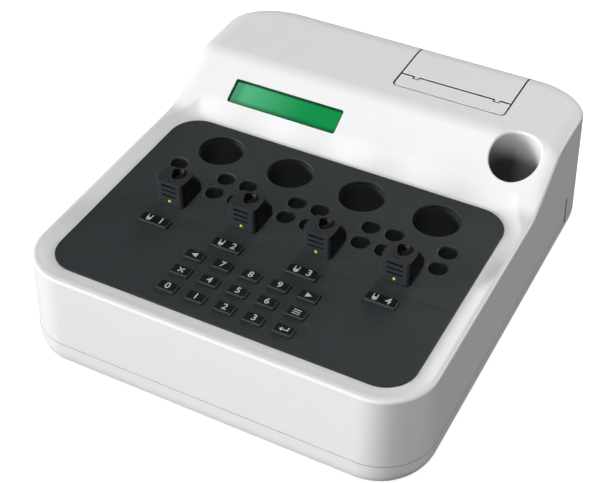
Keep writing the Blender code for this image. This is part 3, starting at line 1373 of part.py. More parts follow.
def build_serial_socket():
    low = MAIN_BOARD_LEVEL + BOARD_THICKNESS + SEAM
    high = low + SERIAL_HEIGHT - SEAM
    face = back_wall(high) - SEAM
    half = SERIAL_WIDTH / 2 - SEAM
    middle = (low + high) / 2
    bm = bmesh.new()
    add_box(bm, SERIAL_X - half, SERIAL_X + half, face - SERIAL_DEPTH, face, low, high)
    socket = make_piece("serial_socket", bm, "steel")
    bm = bmesh.new()
    add_box(bm, SERIAL_X - SERIAL_OPENING_WIDTH / 2, SERIAL_X + SERIAL_OPENING_WIDTH / 2,
            face - SERIAL_OPENING_DEPTH, face + OVERRUN,
            middle - SERIAL_OPENING_HEIGHT / 2, middle + SERIAL_OPENING_HEIGHT / 2)
    cut(socket, make_helper("serial_opening", bm))


def build_card_reader():
    """Reader behind the slot in the right wall."""
    middle = SLOT_TOP - SLOT_HEIGHT / 2
    y = behind_panel_front(SLOT_Y)
    low = middle - CARD_READER_HEIGHT / 2
    high = middle + CARD_READER_HEIGHT / 2
    face = side_wall(high) - WALL - SEAM
    bm = bmesh.new()
    half = CARD_READER_WIDTH / 2
    add_box(bm, face - CARD_READER_DEPTH, face, y - half, y + half, low, high)
    reader = make_piece("card_reader", bm, "frame_plastic")
    bm = bmesh.new()
    add_box(bm, face - CARD_THROAT_DEPTH, face + OVERRUN, y - SLOT_WIDTH / 2, y + SLOT_WIDTH / 2,
            middle - SLOT_HEIGHT / 2, middle + SLOT_HEIGHT / 2)
    cut(reader, make_helper("card_throat", bm))


def main():
    for item in list(bpy.data.objects):
        bpy.data.objects.remove(item)
    slope = slope_frame()
    build_housing(slope)
    build_tray()
    build_feet()
    build_panel()
    build_keys()
    build_keypad()
    build_blocks()
    build_heads()
    build_stirrers()
    build_display(slope)
    build_strip()
    cover = build_cover()
    build_platen(cover)
    build_printer_frame()
    build_printer_inside()
    build_main_board()
    build_supply()
    build_inlet()
    build_serial_socket()
    build_card_reader()


main()
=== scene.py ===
"""Four-channel coagulation analyzer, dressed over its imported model.

X runs to the user's right, Y to the back and Z up, in metres, with the origin on the table.
"""
from math import atan2, cos, hypot, pi, radians, sin, tan, tau

import bmesh
import bpy
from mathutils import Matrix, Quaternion, Vector


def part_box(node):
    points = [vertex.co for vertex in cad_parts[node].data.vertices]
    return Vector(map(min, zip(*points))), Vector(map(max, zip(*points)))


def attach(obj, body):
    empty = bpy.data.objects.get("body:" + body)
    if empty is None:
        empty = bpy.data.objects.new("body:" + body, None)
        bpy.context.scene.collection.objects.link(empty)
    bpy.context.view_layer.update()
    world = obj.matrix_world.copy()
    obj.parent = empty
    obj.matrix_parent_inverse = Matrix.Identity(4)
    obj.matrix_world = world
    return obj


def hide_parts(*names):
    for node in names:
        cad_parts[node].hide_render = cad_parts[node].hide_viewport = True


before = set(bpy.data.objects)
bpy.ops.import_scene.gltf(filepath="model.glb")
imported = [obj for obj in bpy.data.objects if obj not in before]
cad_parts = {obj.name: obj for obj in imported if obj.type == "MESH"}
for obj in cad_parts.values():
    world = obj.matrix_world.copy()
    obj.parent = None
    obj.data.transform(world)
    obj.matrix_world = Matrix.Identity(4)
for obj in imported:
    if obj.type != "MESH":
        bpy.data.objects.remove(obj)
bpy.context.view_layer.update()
scene = bpy.context.scene
link = scene.collection.objects.link

# Camera: the photographer stands at the instrument's front right corner and looks down on it,
# with a long lens that keeps its edges nearly parallel.
camera = bpy.data.objects.new("camera", bpy.data.cameras.new("camera"))
link(camera)
scene.camera = camera
camera.location = (0.2867, -0.5856, 0.5905)
camera.rotation_mode = 'QUATERNION'
camera_line = Vector((-0.3456, 0.6678, -0.6593))
camera_roll = Quaternion((0, 0, 1), radians(0.17))
camera.rotation_quaternion = camera_line.to_track_quat('-Z', 'Y') @ camera_roll
camera.data.sensor_width = 36
camera.data.lens = 79.5

# Studio: a pale table under a white surround. Broad lamps stand low at the left, in front and at the
# rear right, a weaker one stands higher behind, and one hangs over the table.
scene.view_settings.view_transform = 'Standard'


def linear(hex_colour):
    """Linear colour of an sRGB hex value."""
    parts = [int(hex_colour[i:i + 2], 16) / 255 for i in (1, 3, 5)]
    return (*[c / 12.92 if c <= 0.04045 else ((c + 0.055) / 1.055) ** 2.4 for c in parts], 1)


def set_node(node, settings=(), links=()):
    """Gives a node its settings, as input names or properties, and the links into it."""
    for name, value in dict(settings).items():
        if isinstance(name, int) or name in node.inputs:
            node.inputs[name].default_value = value
        else:
            setattr(node, name, value)
    for name, (source, output) in dict(links).items():
        node.id_data.links.new(source.outputs[output], node.inputs[name])
    return node


def add_node(tree, kind, settings=(), links=()):
    """New shader node with its settings and links."""
    return set_node(tree.nodes.new("ShaderNode" + kind), settings, links)


world = bpy.data.worlds.new("surround")
scene.world = world
world.use_nodes = True
tree = world.node_tree
tree.nodes.clear()
rays = add_node(tree, "LightPath")
seen = add_node(tree, "Math", {"operation": 'MAXIMUM'},
                {0: (rays, "Is Camera Ray"), 1: (rays, "Is Transmission Ray")})
soft = add_node(tree, "Background", {"Color": linear("#F4F6F8"), "Strength": 0.02})
white = add_node(tree, "Background", {"Color": linear("#FFFFFF"), "Strength": 1.0})
mixed = add_node(tree, "MixShader", {}, {0: (seen, 0), 1: (soft, 0), 2: (white, 0)})
add_node(tree, "OutputWorld", {}, {"Surface": (mixed, 0)})

LAMP_SPREAD = radians(20)
LAMPS = (("left_lamp", -60, 8, 0.92), ("front_lamp", 0, 8, 0.36), ("overhead_lamp", 0, 77, 0.47),
         ("rear_lamp", 180, 25, 0.14), ("right_lamp", 135, 12, 0.38))
for name, azimuth, elevation, strength in LAMPS:
    turn, rise = radians(azimuth), radians(elevation)
    towards = Vector((cos(rise) * sin(turn), -cos(rise) * cos(turn), sin(rise)))
    lamp = bpy.data.objects.new(name, bpy.data.lights.new(name, 'SUN'))
    lamp.data.energy = strength * pi
    lamp.data.angle = LAMP_SPREAD
    lamp.rotation_euler = towards.to_track_quat('Z', 'Y').to_euler()
    link(lamp)

# White laminate: pale to the eye, but it throws little light back up at the instrument.
TABLE_REACH = 2.5
floor_mesh = bpy.data.meshes.new("table")
corners = [(x * TABLE_REACH, y * TABLE_REACH, 0) for x, y in ((-1, -1), (1, -1), (1, 1), (-1, 1))]
floor_mesh.from_pydata(corners, [], [(0, 1, 2, 3)])
table = bpy.data.objects.new("table", floor_mesh)
link(table)
laminate = bpy.data.materials.new("white_laminate_table")
laminate.use_nodes = True
tree = laminate.node_tree
tree.nodes.clear()
rays = add_node(tree, "LightPath")
matte = add_node(tree, "BsdfDiffuse", {"Color": linear("#303133")})
pale = add_node(tree, "BsdfDiffuse", {"Color": linear("#F4F5F6")})
glow = add_node(tree, "Emission", {"Color": linear("#FFFFFF"), "Strength": 0.80})
lit = add_node(tree, "AddShader", {}, {0: (pale, 0), 1: (glow, 0)})
mixed = add_node(tree, "MixShader", {}, {0: (rays, "Is Camera Ray"), 1: (matte, 0), 2: (lit, 0)})
add_node(tree, "OutputMaterial", {}, {"Surface": (mixed, 0)})
floor_mesh.materials.append(laminate)

# Base tray: the lower shell, injection-moulded in white ABS, with a rolled bottom edge. Its walls
# lean in slightly so that it leaves the mould, and pillars in it carry everything inside.
FOOTPRINT_WIDTH = 0.2654
FOOTPRINT_DEPTH = 0.309
SIDE_LEAN = FRONT_LEAN = 0.0027
BACK_LEAN = 0.003
FRONT_CORNER = 0.0352
BACK_CORNER = 0.043
TRAY_LEVEL = 0.0025
FLOOR_LEVEL = 0.005
PARTING_LEVEL = 0.0162
PANEL_LEVEL = 0.0645
PANEL_FRONT = -0.1383
SEAM = 0.0003
WALL = 0.0025
OVERRUN = 0.002
HAIR = 0.0001
ROLL_HEIGHT = 0.0075
FRONT_ROLL = 0.002
SIDE_ROLL = 0.0062
QUARTER = pi / 2


def behind(distance):
    """Y at a distance behind the control panel's front edge."""
    return PANEL_FRONT + distance


def wall_place(mark, level, inset):
    """Point on the leaning wall at a level, moved inwards by inset."""
    kind, value = mark
    lean = (level - TRAY_LEVEL) / (PANEL_LEVEL - TRAY_LEVEL)
    half_width = FOOTPRINT_WIDTH / 2 - SIDE_LEAN * lean - inset
    if kind == "side":
        return Vector((half_width, value, level))
    if kind == "front":
        radius = FRONT_CORNER - SIDE_LEAN * lean - inset
        centre_y = -FOOTPRINT_DEPTH / 2 + FRONT_LEAN * lean + inset + radius
    else:
        radius = BACK_CORNER - SIDE_LEAN * lean - inset
        centre_y = FOOTPRINT_DEPTH / 2 - BACK_LEAN * lean - inset - radius
    return Vector((half_width - radius + radius * cos(value), centre_y + radius * sin(value), level))


def wall_marks(steps, stations=()):
    """Marks up the right half of the outline: front corner, straight places, back corner."""
    marks = [("front", QUARTER * (i / steps - 1)) for i in range(steps + 1)]
    marks += [("side", y) for y in stations]
    return marks + [("back", QUARTER * i / steps) for i in range(steps + 1)]


def mirrored(right):
    """Whole outline from its right half."""
    return right + [Vector((-point.x, point.y, point.z)) for point in right[::-1]]


def skin(bm, rings):
    """Faces between rings of points with equal counts, and the rows of their corners."""
    rows = [[bm.verts.new(point) for point in ring] for ring in rings]
    for lower, upper in zip(rows, rows[1:]):
        for i in range(len(lower)):
            j = (i + 1) % len(lower)
            bm.faces.new((lower[i], lower[j], upper[j], upper[i]))
    return rows


def lofted(*shapes):
    """Closed bodies, each skinned through its rings of points."""
    bm = bmesh.new()
    for rings in shapes:
        rows = skin(bm, rings)
        bm.faces.new(rows[0][::-1])
        bm.faces.new(rows[-1])
    return bm


def at_level(outline, z):
    """Points of an outline in X and Y at a height."""
    return [Vector((x, y, z)) for x, y in outline]


def prism(outline, low, high):
    """Rings of an upright prism."""
    return [at_level(outline, low), at_level(outline, high)]


def beam(outline, left, right):
    """Rings of a prism along X, of an outline in Y and Z."""
    return [[Vector((x, y, z)) for y, z in outline] for x in (left, right)]


def box(left, right, front, back, low, high):
    return prism([(left, front), (right, front), (right, back), (left, back)], low, high)


def circle(radius, sides, centre=(0, 0)):
    """Points of a circle."""
    turns = [tau * (i + 0.5) / sides for i in range(sides)]
    return [(centre[0] + radius * cos(a), centre[1] + radius * sin(a)) for a in turns]


def make_object(name, bm):
    """Object from a bmesh with its faces pointing out."""
    bmesh.ops.recalc_face_normals(bm, faces=bm.faces)
    mesh = bpy.data.meshes.new(name)
    bm.to_mesh(mesh)
    bm.free()
    made = bpy.data.objects.new(name, mesh)
    link(made)
    return made


def baked(piece):
    """Mesh of a piece with its modifiers applied, or of a line of text."""
    return bpy.data.meshes.new_from_object(piece.evaluated_get(bpy.context.evaluated_depsgraph_get()))


def carve(piece, *shapes, join=False, tool=None):
    """Cuts shapes or a tool out of a piece, or joins them on, for good."""
    tool = tool or make_object("tool", lofted(*shapes))
    modifier = piece.modifiers.new("carve", 'BOOLEAN')
    modifier.operation = 'UNION' if join else 'DIFFERENCE'
    modifier.solver = 'EXACT'
    modifier.object = tool
    done = baked(piece)
    piece.modifiers.clear()
    piece.data = done
    bpy.data.objects.remove(tool)


def paint(piece, *materials):
    """Gives a piece its finishes, in the order of their numbers."""
    for material in materials:
        piece.data.materials.append(material)


def seat(piece, body, slot, *nodes, sharp_degrees=32):
    """Shades a finished piece with its flats kept flat, and puts it on its body, in place of the
    plain solids it stands for."""
    piece.data.shade_smooth()
    piece.data.set_sharp_from_angle(angle=radians(sharp_degrees))
    weights = piece.modifiers.new("even_flats", 'WEIGHTED_NORMAL')
    weights.keep_sharp = True
    weights.weight = 60
    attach(piece, body)
    if nodes:
        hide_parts(*nodes)


def new_material(name):
    """Material, its node tree, its shader and the object's own coordinates."""
    material = bpy.data.materials.new(name)
    material.use_nodes = True
    tree = material.node_tree
    return material, tree, tree.nodes["Principled BSDF"], add_node(tree, "TexCoord")


def add_grain(shader, coords, size_mm, depth_mm, roughness, swing, spread, detail, harshness):
    """Fine relief all over, which makes the gloss vary too."""
    tree = shader.id_data
    grain = add_node(tree, "TexNoise", {"Scale": 1000 / size_mm, "Detail": detail, "Roughness": harshness},
                     {"Vector": (coords, "Object")})
    rough = add_node(tree, "MapRange",
                     {"From Min": 0.5 - spread, "From Max": 0.5 + spread,
                      "To Min": roughness - swing, "To Max": roughness + swing}, {"Value": (grain, "Fac")})
    bump = add_node(tree, "Bump", {"Strength": 1.0, "Distance": depth_mm / 1000},
                    {"Height": (grain, "Fac")})
    set_node(shader, {}, {"Roughness": (rough, 0), "Normal": (bump, 0)})


PLASTIC_IOR = 1.53
CLOUD_MM = 14
CLOUD_SHARE = 0.3


def moulded(name, colour, shade, roughness, grain_mm, depth_mm):
    """Moulded plastic: an even colour with slow cloudiness, and the fine grain of a spark-eroded mould."""
    material, tree, shader, coords = new_material(name)
    cloud = add_node(tree, "TexNoise", {"Scale": 1000 / CLOUD_MM, "Detail": 2.0, "Roughness": 0.5},
                     {"Vector": (coords, "Object")})
    share = add_node(tree, "Math", {"operation": 'MULTIPLY', 1: CLOUD_SHARE}, {0: (cloud, "Fac")})
    tint = add_node(tree, "Mix", {"data_type": 'RGBA', 6: linear(colour), 7: linear(shade)},
                    {0: (share, 0)})
    set_node(shader, {"IOR": PLASTIC_IOR}, {"Base Color": (tint, 2)})
    add_grain(shader, coords, grain_mm, depth_mm, roughness, 0.05, 0.2, 3.0, 0.6)
    return material


# Moulded white ABS: cool off-white with a fine satin grain; 0.5 mm is coarser than the real grain,
# which would not show at this size.
white_abs = moulded("white_abs_moulded", "#F1F2F1", "#E9EBEA", 0.46, 0.5, 0.004)
# Painted shade: a near-black finish for the walls of narrow gaps, where shade falls: the parting line's seam,
# the card slot, the printer bay's edges, the strip's sides and the cover's flanks and front lip.
gap_shade_black = moulded("black_painted_gap_shade", "#0A0A0B", "#060607", 0.95, 0.4, 0.02)


def tray_ring(level, rolled, inset=0):
    """Outline of the tray at a level, moved inwards by a share of its rolled edge and by inset."""
    right = []
    for mark in wall_marks(24):
        ahead = -sin(mark[1]) if mark[0] == "front" else 0
        roll = SIDE_ROLL + (FRONT_ROLL - SIDE_ROLL) * ahead
        right.append(wall_place(mark, level, roll * rolled + inset))
    return mirrored(right)


angles = [QUARTER * (1 - step / 8) for step in range(9)]
rings = [tray_ring(TRAY_LEVEL + ROLL_HEIGHT * (1 - sin(a)), 1 - cos(a)) for a in angles]
rings += [tray_ring(PARTING_LEVEL - SEAM, 0), tray_ring(PARTING_LEVEL - SEAM, 0, WALL),
          tray_ring(FLOOR_LEVEL, 0, WALL)]
tray = make_object("tray_shell", lofted(rings))

SLOT_Y = behind(0.2376)
SLOT_WIDTH = 0.0022
SLOT_TOP = 0.0328
SLOT_BOTTOM = 0.0125
FOOT_PLACES = [(side * 0.104, behind(y)) for y in (0.015, 0.256) for side in (-1, 1)]
FOOT_HOLE = 0.0028
PILLAR_X = 0.1205
PILLAR_ROWS = (0.03, 0.15)
PILLAR_RADIUS = 0.0035
POST_RADIUS = 0.0025


def slot_cutter(low, high):
    """Card slot through the right wall between two levels."""
    return box(0.1265, 0.135, SLOT_Y - SLOT_WIDTH / 2, SLOT_Y + SLOT_WIDTH / 2, low, high)


def posts(across, rows, radius, low, high):
    """Upright posts at each place across and in each row behind the panel's front."""
    return [prism(circle(radius, 20, (x, behind(row))), low, high) for x in across for row in rows]


def in_slot(face):
    """Whether a face lines the card slot."""
    x, y, z = face.center
    return (x > 0.127 and abs(y - SLOT_Y) < SLOT_WIDTH / 2 + HAIR and z < SLOT_TOP + HAIR
            and abs(face.normal.x) < 0.5)


carve(tray, slot_cutter(SLOT_BOTTOM, PARTING_LEVEL + OVERRUN),
      *[prism(circle(FOOT_HOLE, 24, place), TRAY_LEVEL - OVERRUN, FLOOR_LEVEL + OVERRUN)
        for place in FOOT_PLACES])
# Each row: places across and behind, radius and top. The first row carries the housing, the next
# two the heater plate, and the others the stirrers' board, the main board and the supply.
POSTS = (((-PILLAR_X, PILLAR_X), PILLAR_ROWS, PILLAR_RADIUS, PARTING_LEVEL - SEAM),
         ((-0.101, 0.101), (0.077, 0.157), POST_RADIUS, 0.0164), ((0,), (0.157,), POST_RADIUS, 0.0164),
         ((-0.092, 0.092), (0.079, 0.097), POST_RADIUS, 0.0113),
         ((-0.039, 0.097), (0.183, 0.279), POST_RADIUS, 0.0147),
         ((-0.109, -0.055), (0.183, 0.247), POST_RADIUS, 0.0077))
carve(tray, *[rings for across, rows, radius, top in POSTS
              for rings in posts(across, rows, radius, FLOOR_LEVEL - WALL / 2, top)], join=True)
paint(tray, white_abs, gap_shade_black)
# Painted shade: the seam's ledge and the card slot's walls get the near-black finish of the gaps.
for face in tray.data.polygons:
    at_seam = face.center.z > PARTING_LEVEL - SEAM - HAIR and face.normal.z > 0.9
    face.material_index = 1 if at_seam or in_slot(face) else 0
seat(tray, "housing", "housing_plastic", "base_tray")

# Feet: four moulded rubber pads with a stud that is pressed through the tray's floor. Two shallow
# rings in the face grip the bench.
foot_rubber = moulded("moulded_rubber", "#3A3A3B", "#2E2E2F", 0.85, 0.35, 0.02)
FOOT_STEPS = ((0.0025, 0.0062), (0.0025, 0.0021), (0.0078, 0.0021), (0.008, 0.0019), (0.008, 0.0003),
              (0.0077, 0), (0.0062, 0), (0.006, 0.0004), (0.0052, 0.0004), (0.005, 0),
              (0.0038, 0), (0.0036, 0.0004), (0.0028, 0.0004), (0.0026, 0))
for name, place in zip(("front_left", "front_right", "back_left", "back_right"), FOOT_PLACES):
    rings = [at_level(circle(radius, 40, place), z) for radius, z in FOOT_STEPS]
    foot = make_object(f"rubber_foot_{name}", lofted(rings))
    paint(foot, foot_rubber)
    seat(foot, "housing", "foot_rubber", f"foot_{name}")


def dress(material, *nodes):
    """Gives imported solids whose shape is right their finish."""
    for name in nodes:
        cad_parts[name].data.materials.clear()
        paint(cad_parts[name], material)


# Boards and supply: glass-epoxy circuit boards on the tray's posts, with green solder mask over
# copper tracks, and a small mains supply with its transformer at the left.
# Solder mask: deep green, with paler tracks in rows 3 mm apart, coarser than real ones, which would
# not show.
solder_mask, tree, shader, coords = new_material("solder_mask_on_glass_epoxy")
tracks = add_node(tree, "TexBrick",
                  {"Scale": 1000 / 12.7, "Mortar Size": 0.03, "Color1": linear("#17633A"),
                   "Color2": linear("#125231"), "Mortar": linear("#2F8A55")}, {"Vector": (coords, "Object")})
bump = add_node(tree, "Bump", {"Strength": 1.0, "Distance": 0.00005}, {"Height": (tracks, "Fac")})
set_node(shader, {"Roughness": 0.35}, {"Base Color": (tracks, "Color"), "Normal": (bump, 0)})
dress(solder_mask, "main_board", "power_supply", "stirrer_board", "keypad_board", "display_module")

# Incubator: two machined and black-anodised aluminium blocks that warm the wells, on one etched
# film heater, with magnetic stirrers that turn below the measuring bores.
CHANNELS = [0.0508 * (i - 1.5) for i in range(4)]
REAGENT_RADIUS = 0.015
REAGENT_Y = behind(0.1419)
REAGENT_FLOOR = 0.0225
SMALL_RADIUS = 0.00575
SMALL_FLOOR = 0.0345
SMALL_WELLS = [(x + side * 0.0175, behind(row)) for x in CHANNELS for side in (-1, 1)
               for row in (0.102, 0.1175)]
HEAD_Y = behind(0.088)
SPIGOT_RADIUS = 0.007


def metal(name, colour, roughness, grain_mm, metallic=1.0):
    """Worked metal: its colour with fine tool marks that change the gloss."""
    material, _, shader, coords = new_material(name)
    set_node(shader, {"Base Color": linear(colour), "Metallic": metallic})
    add_grain(shader, coords, grain_mm, 0.003, roughness, 0.08, 0.25, 4.0, 0.7)
    return material


# Black anodised aluminium: a dense charcoal film with a low, broad gloss that lets the wells' walls
# catch the light.
anodised = metal("black_anodised_aluminium", "#45494C", 0.6, 0.4, 0.0)
# Turned steel: bright, with fine marks. Etched polyimide: an amber film over the heater's tracks.
turned_steel = metal("turned_stainless_steel", "#C8CACC", 0.28, 0.3)
polyimide = moulded("etched_polyimide_film", "#B4682A", "#9C5722", 0.4, 1.5, 0.02)

for side in ("left", "right"):
    low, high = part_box(f"incubator_block_{side}")
    block = make_object(f"warm_block_{side}", lofted(box(low.x, high.x, low.y, high.y, low.z, high.z)))
    holes = []
    for x in CHANNELS:
        holes += [(REAGENT_RADIUS, 64, (x, REAGENT_Y), REAGENT_FLOOR),
                  (SPIGOT_RADIUS + SEAM, 40, (x, HEAD_Y), low.z - OVERRUN)]
    holes += [(SMALL_RADIUS, 40, place, SMALL_FLOOR) for place in SMALL_WELLS]
    carve(block, *[prism(circle(radius, sides, place), floor, high.z + OVERRUN)
                   for radius, sides, place, floor in holes if low.x < place[0] < high.x])
    paint(block, anodised)
    seat(block, "housing", "black_aluminium", f"incubator_block_{side}")
dress(polyimide, "heater_plate")
dress(turned_steel, "stirrer_rotor_1", "stirrer_rotor_2", "stirrer_rotor_3", "stirrer_rotor_4")

# Control panel: one moulded plate of charcoal ABS that drops into the housing's recess. A fine
# scored line parts the keys from the measuring places, and each well has a softly broken edge.
PANEL_HALF = 0.1175
PANEL_DEPTH = 0.1661
PANEL_CORNER = 0.02
PANEL_THICKNESS = 0.0025
PANEL_UNDERSIDE = PANEL_LEVEL - PANEL_THICKNESS
WELL_FLARE = 0.0009


def rounded(left, right, front, back, radius, steps=16):
    """Outline with round corners, counter-clockwise from the front left."""
    outline = []
    for x, y, turn in ((left + radius, front + radius, 2), (right - radius, front + radius, 3),
                       (right - radius, back - radius, 0), (left + radius, back - radius, 1)):
        for i in range(steps + 1):
            angle = QUARTER * (turn + i / steps)
            outline.append((x + radius * cos(angle), y + radius * sin(angle)))
    return outline


def panel_outline(grow):
    return rounded(-PANEL_HALF - grow, PANEL_HALF + grow, behind(-grow), behind(PANEL_DEPTH + grow),
                   PANEL_CORNER + grow)


def well(place, radius, sides):
    """Rings of a well's cutter through the panel, whose mouth widens in a quarter round."""
    rings = [(radius, PANEL_UNDERSIDE - OVERRUN), (radius, PANEL_LEVEL - WELL_FLARE)]
    for angle in [QUARTER * i / 3 for i in (1, 2, 3)]:
        rings.append((radius + WELL_FLARE * (1 - cos(angle)),
                      PANEL_LEVEL - WELL_FLARE * (1 - sin(angle))))
    rings.append((radius + WELL_FLARE, PANEL_LEVEL + OVERRUN))
    return [at_level(circle(r, sides, place), z) for r, z in rings]


# Each key has its name, its middle, its width and its depth.
KEY_PITCH = 0.01905
KEY_ROWS = ((0.0139, "0", "1", "2", "3", "enter"), (0.0292, "cancel", "4", "5", "6", "mode"),
            (0.0444, "left", "7", "8", "9", "right"))
KEYS = [(name, KEY_PITCH * (i - 2), behind(row), 0.0122, 0.0078)
        for row, *names in KEY_ROWS for i, name in enumerate(names)]
KEYS += [(f"channel_{i + 1}", x, behind(0.061), 0.02, 0.008) for i, x in enumerate(CHANNELS)]
KEY_CORNER = 0.0009
KEY_CLEARANCE = 0.0004


def key_outline(width, depth, grow):
    """Outline of a key about the origin, grown by grow."""
    half_x, half_y = width / 2 + grow, depth / 2 + grow
    return rounded(-half_x, half_x, -half_y, half_y, KEY_CORNER + grow, 4)


def moved(outline, x, y):
    return [(x + px, y + py) for px, py in outline]


panel = make_object("panel_plate", lofted([
    at_level(panel_outline(-SEAM - inset), z)
    for inset, z in ((0, PANEL_UNDERSIDE), (0, PANEL_LEVEL - SEAM), (SEAM, PANEL_LEVEL))]))
PANEL_CUT = (PANEL_UNDERSIDE - OVERRUN, PANEL_LEVEL + OVERRUN)
holes = []
for x in CHANNELS:
    holes += [well((x, REAGENT_Y), REAGENT_RADIUS, 96),
              prism(circle(SPIGOT_RADIUS + SEAM, 40, (x, HEAD_Y)), *PANEL_CUT)]
holes += [well(place, SMALL_RADIUS, 64) for place in SMALL_WELLS]
holes += [prism(moved(key_outline(width, depth, KEY_CLEARANCE), x, y), *PANEL_CUT)
          for _, x, y, width, depth in KEYS]
carve(panel, *holes)
LINE_Y = behind(0.07)
LINE_DEPTH = 0.0002
LINE = ((-0.0007, OVERRUN), (-0.0002, -LINE_DEPTH), (0.0002, -LINE_DEPTH), (0.0007, OVERRUN))
LINE_HALF = PANEL_HALF - 0.001
carve(panel, beam(moved(LINE, LINE_Y, PANEL_LEVEL), -LINE_HALF, LINE_HALF))
PEG_RADIUS = 0.002
PEG_BOTTOM = 0.0576
carve(panel, *posts((-0.092, 0.092), (0.009, 0.066), PEG_RADIUS, PEG_BOTTOM,
                    PANEL_LEVEL - PANEL_THICKNESS / 2), join=True)
# Charcoal ABS, moulded: nearly black with a cool cast, and matt, so the wells read darker than it.
charcoal_abs = moulded("charcoal_abs_moulded", "#2B3032", "#282D2F", 0.58, 0.45, 0.003)
paint(panel, charcoal_abs)
seat(panel, "housing", "panel_plastic", "control_panel")

# Keys: caps moulded in charcoal ABS with a black film on top that carries the white figures, each
# held by a lip under the panel and pushed back up by the silicone mat on the keypad's board.
KEY_RISE = 0.0018
KEY_LIP = 0.0012
KEY_ROUND = 0.0006
LIP_HIGH = -PANEL_THICKNESS - SEAM
LIP_LOW = LIP_HIGH - 0.0014
INK_RISE = 0.00004
FIGURE_HEIGHT = 0.0048
CHANNEL_FIGURE_HEIGHT = 0.0052
# The film is darker than the cap and a little glossier. The print is a soft white.
black_film = moulded("black_polyester_key_film", "#08090B", "#060708", 0.45, 0.4, 0.002)
white_ink = moulded("white_pad_print", "#C9CCCD", "#BFC3C4", 0.5, 0.4, 0.002)
silicone = moulded("translucent_grey_silicone", "#A9ABAC", "#9C9EA0", 0.6, 0.5, 0.01)
dress(silicone, "key_mat")


def add_figure(bm, text, height, x=0.0):
    """Printed figure laid flat at the origin, moved along X."""
    curve = bpy.data.curves.new("figure", 'FONT')
    curve.body = text
    curve.align_x = 'CENTER'
    curve.align_y = 'CENTER'
    curve.size = height / 0.73
    curve.offset = height * 0.018
    curve.resolution_u = 6
    holder = bpy.data.objects.new("figure", curve)
    link(holder)
    mesh = baked(holder)
    bpy.data.objects.remove(holder)
    start = len(bm.verts)
    bm.from_mesh(mesh)
    bm.verts.ensure_lookup_table()
    for vert in bm.verts[start:]:
        vert.co.x += x


def add_patch(bm, *outline):
    """Flat shape with its corners in millimetres."""
    bm.faces.new([bm.verts.new((x / 1000, y / 1000, 0)) for x, y in outline])


def legend(name):
    """Ink of one key: a figure, an arrow or a plain sign."""
    bm = bmesh.new()
    if name.startswith("channel"):
        # A cuvette with some liquid in it, beside the channel's number.
        bend = [pi * i / 10 for i in range(1, 10)]
        tube = [(-1.625, 2.625), (-1.625, -1)]
        tube += [(-1.625 * cos(a), -1 - 1.625 * sin(a)) for a in bend] + [(1.625, -1), (1.625, 2.625)]
        inner = [(x * 0.62, y if y > 0 else y + 0.5) for x, y in tube]
        for corners in zip(tube, tube[1:], inner[1:], inner):
            add_patch(bm, *moved(corners, -4, 0))
        add_patch(bm, (-4.875, -1.75), (-3.125, -1.75), (-3, 0.25), (-5, 0.25))
        add_figure(bm, name[-1], CHANNEL_FIGURE_HEIGHT, 0.0043)
    elif name in "0123456789":
        add_figure(bm, name, FIGURE_HEIGHT)
    elif name in ("left", "right"):
        side = -1 if name == "left" else 1
        add_patch(bm, *((-side * 1.8, 2), (-side * 1.8, -2), (side * 2.1, 0))[::side])
    elif name == "cancel":
        for turn in (1, -1):
            add_patch(bm, *((-turn * 2, -1.4), (-turn * 1.4, -2), (turn * 2, 1.4), (turn * 1.4, 2))[::turn])
    elif name == "mode":
        for y in (-1.6, 0, 1.6):
            add_patch(bm, (-2.4, y - 0.3), (2.4, y - 0.3), (2.4, y + 0.3), (-2.4, y + 0.3))
    else:
        add_patch(bm, (-2.8, -0.6), (-1, -2.2), (-1, 1))
        add_patch(bm, (-1, -1), (2.8, -1), (2.1, -0.3), (-1, -0.3))
        add_patch(bm, (2.1, -0.3), (2.8, -1), (2.8, 2), (2.1, 2))
    return bm


for name, x, y, width, depth in KEYS:
    bm = lofted([
        at_level(moved(key_outline(width, depth, grow), x, y), PANEL_LEVEL + z)
        for grow, z in ((KEY_LIP, LIP_LOW), (KEY_LIP, LIP_HIGH), (0, LIP_HIGH), (0, KEY_RISE - KEY_ROUND),
                        (-KEY_ROUND / 5, KEY_RISE - KEY_ROUND / 2), (-KEY_ROUND, KEY_RISE))])
    bm.faces.ensure_lookup_table()
    bm.faces[-1].material_index = 1
    cap = make_object(f"keycap_{name}", bm)
    paint(cap, charcoal_abs, black_film, white_ink)
    ink = legend(name)
    for face in ink.faces:
        face.material_index = 2
        if face.normal.z < 0:
            face.normal_flip()
    for vert in ink.verts:
        vert.co += Vector((x, y, PANEL_LEVEL + KEY_RISE + INK_RISE))
    ink.from_mesh(cap.data)
    ink.to_mesh(cap.data)
    ink.free()
    kind, label = ("channel_", name[-1]) if name.startswith("channel") else ("", name)
    seat(cap, f"{kind}button_{label}", "key_plastic", f"{kind}key_{label}")

# Measuring heads: optical units moulded in dark grey ABS over each bore. A spring tongue in the mouth
# presses the cuvette to the left, three slots in the face let warm air out, and a lamp shows that it
# is ready.
HEAD_HEIGHT = 0.018
HEAD_FRONT = -0.01
HEAD_BACK = 0.006
HEAD_FOOT_BACK = 0.0155
HEAD_FOOT_HEIGHT = 0.0055
SPIGOT_DEPTH = 0.024
BORE_RADIUS = 0.004
BORE_LOW = -0.022
BORE_HIGH = HEAD_HEIGHT - 0.0026
GROOVES = ((0.0075, 0.0006), (0.0112, 0.0006), (0.015, 0.0008))
GROOVE_HALF = 0.005
GROOVE_DEPTH = 0.0016
LAMP_LEVEL = 0.0034
LAMP_HOLE = (0.0013, 0.003)
LENS_STEPS = ((0.001, 0.0027), (0.001, 0.0001), (0.0009, -0.0001), (0.0007, -0.00025),
              (0.0004, -0.00037), (0.0001, -0.0004))


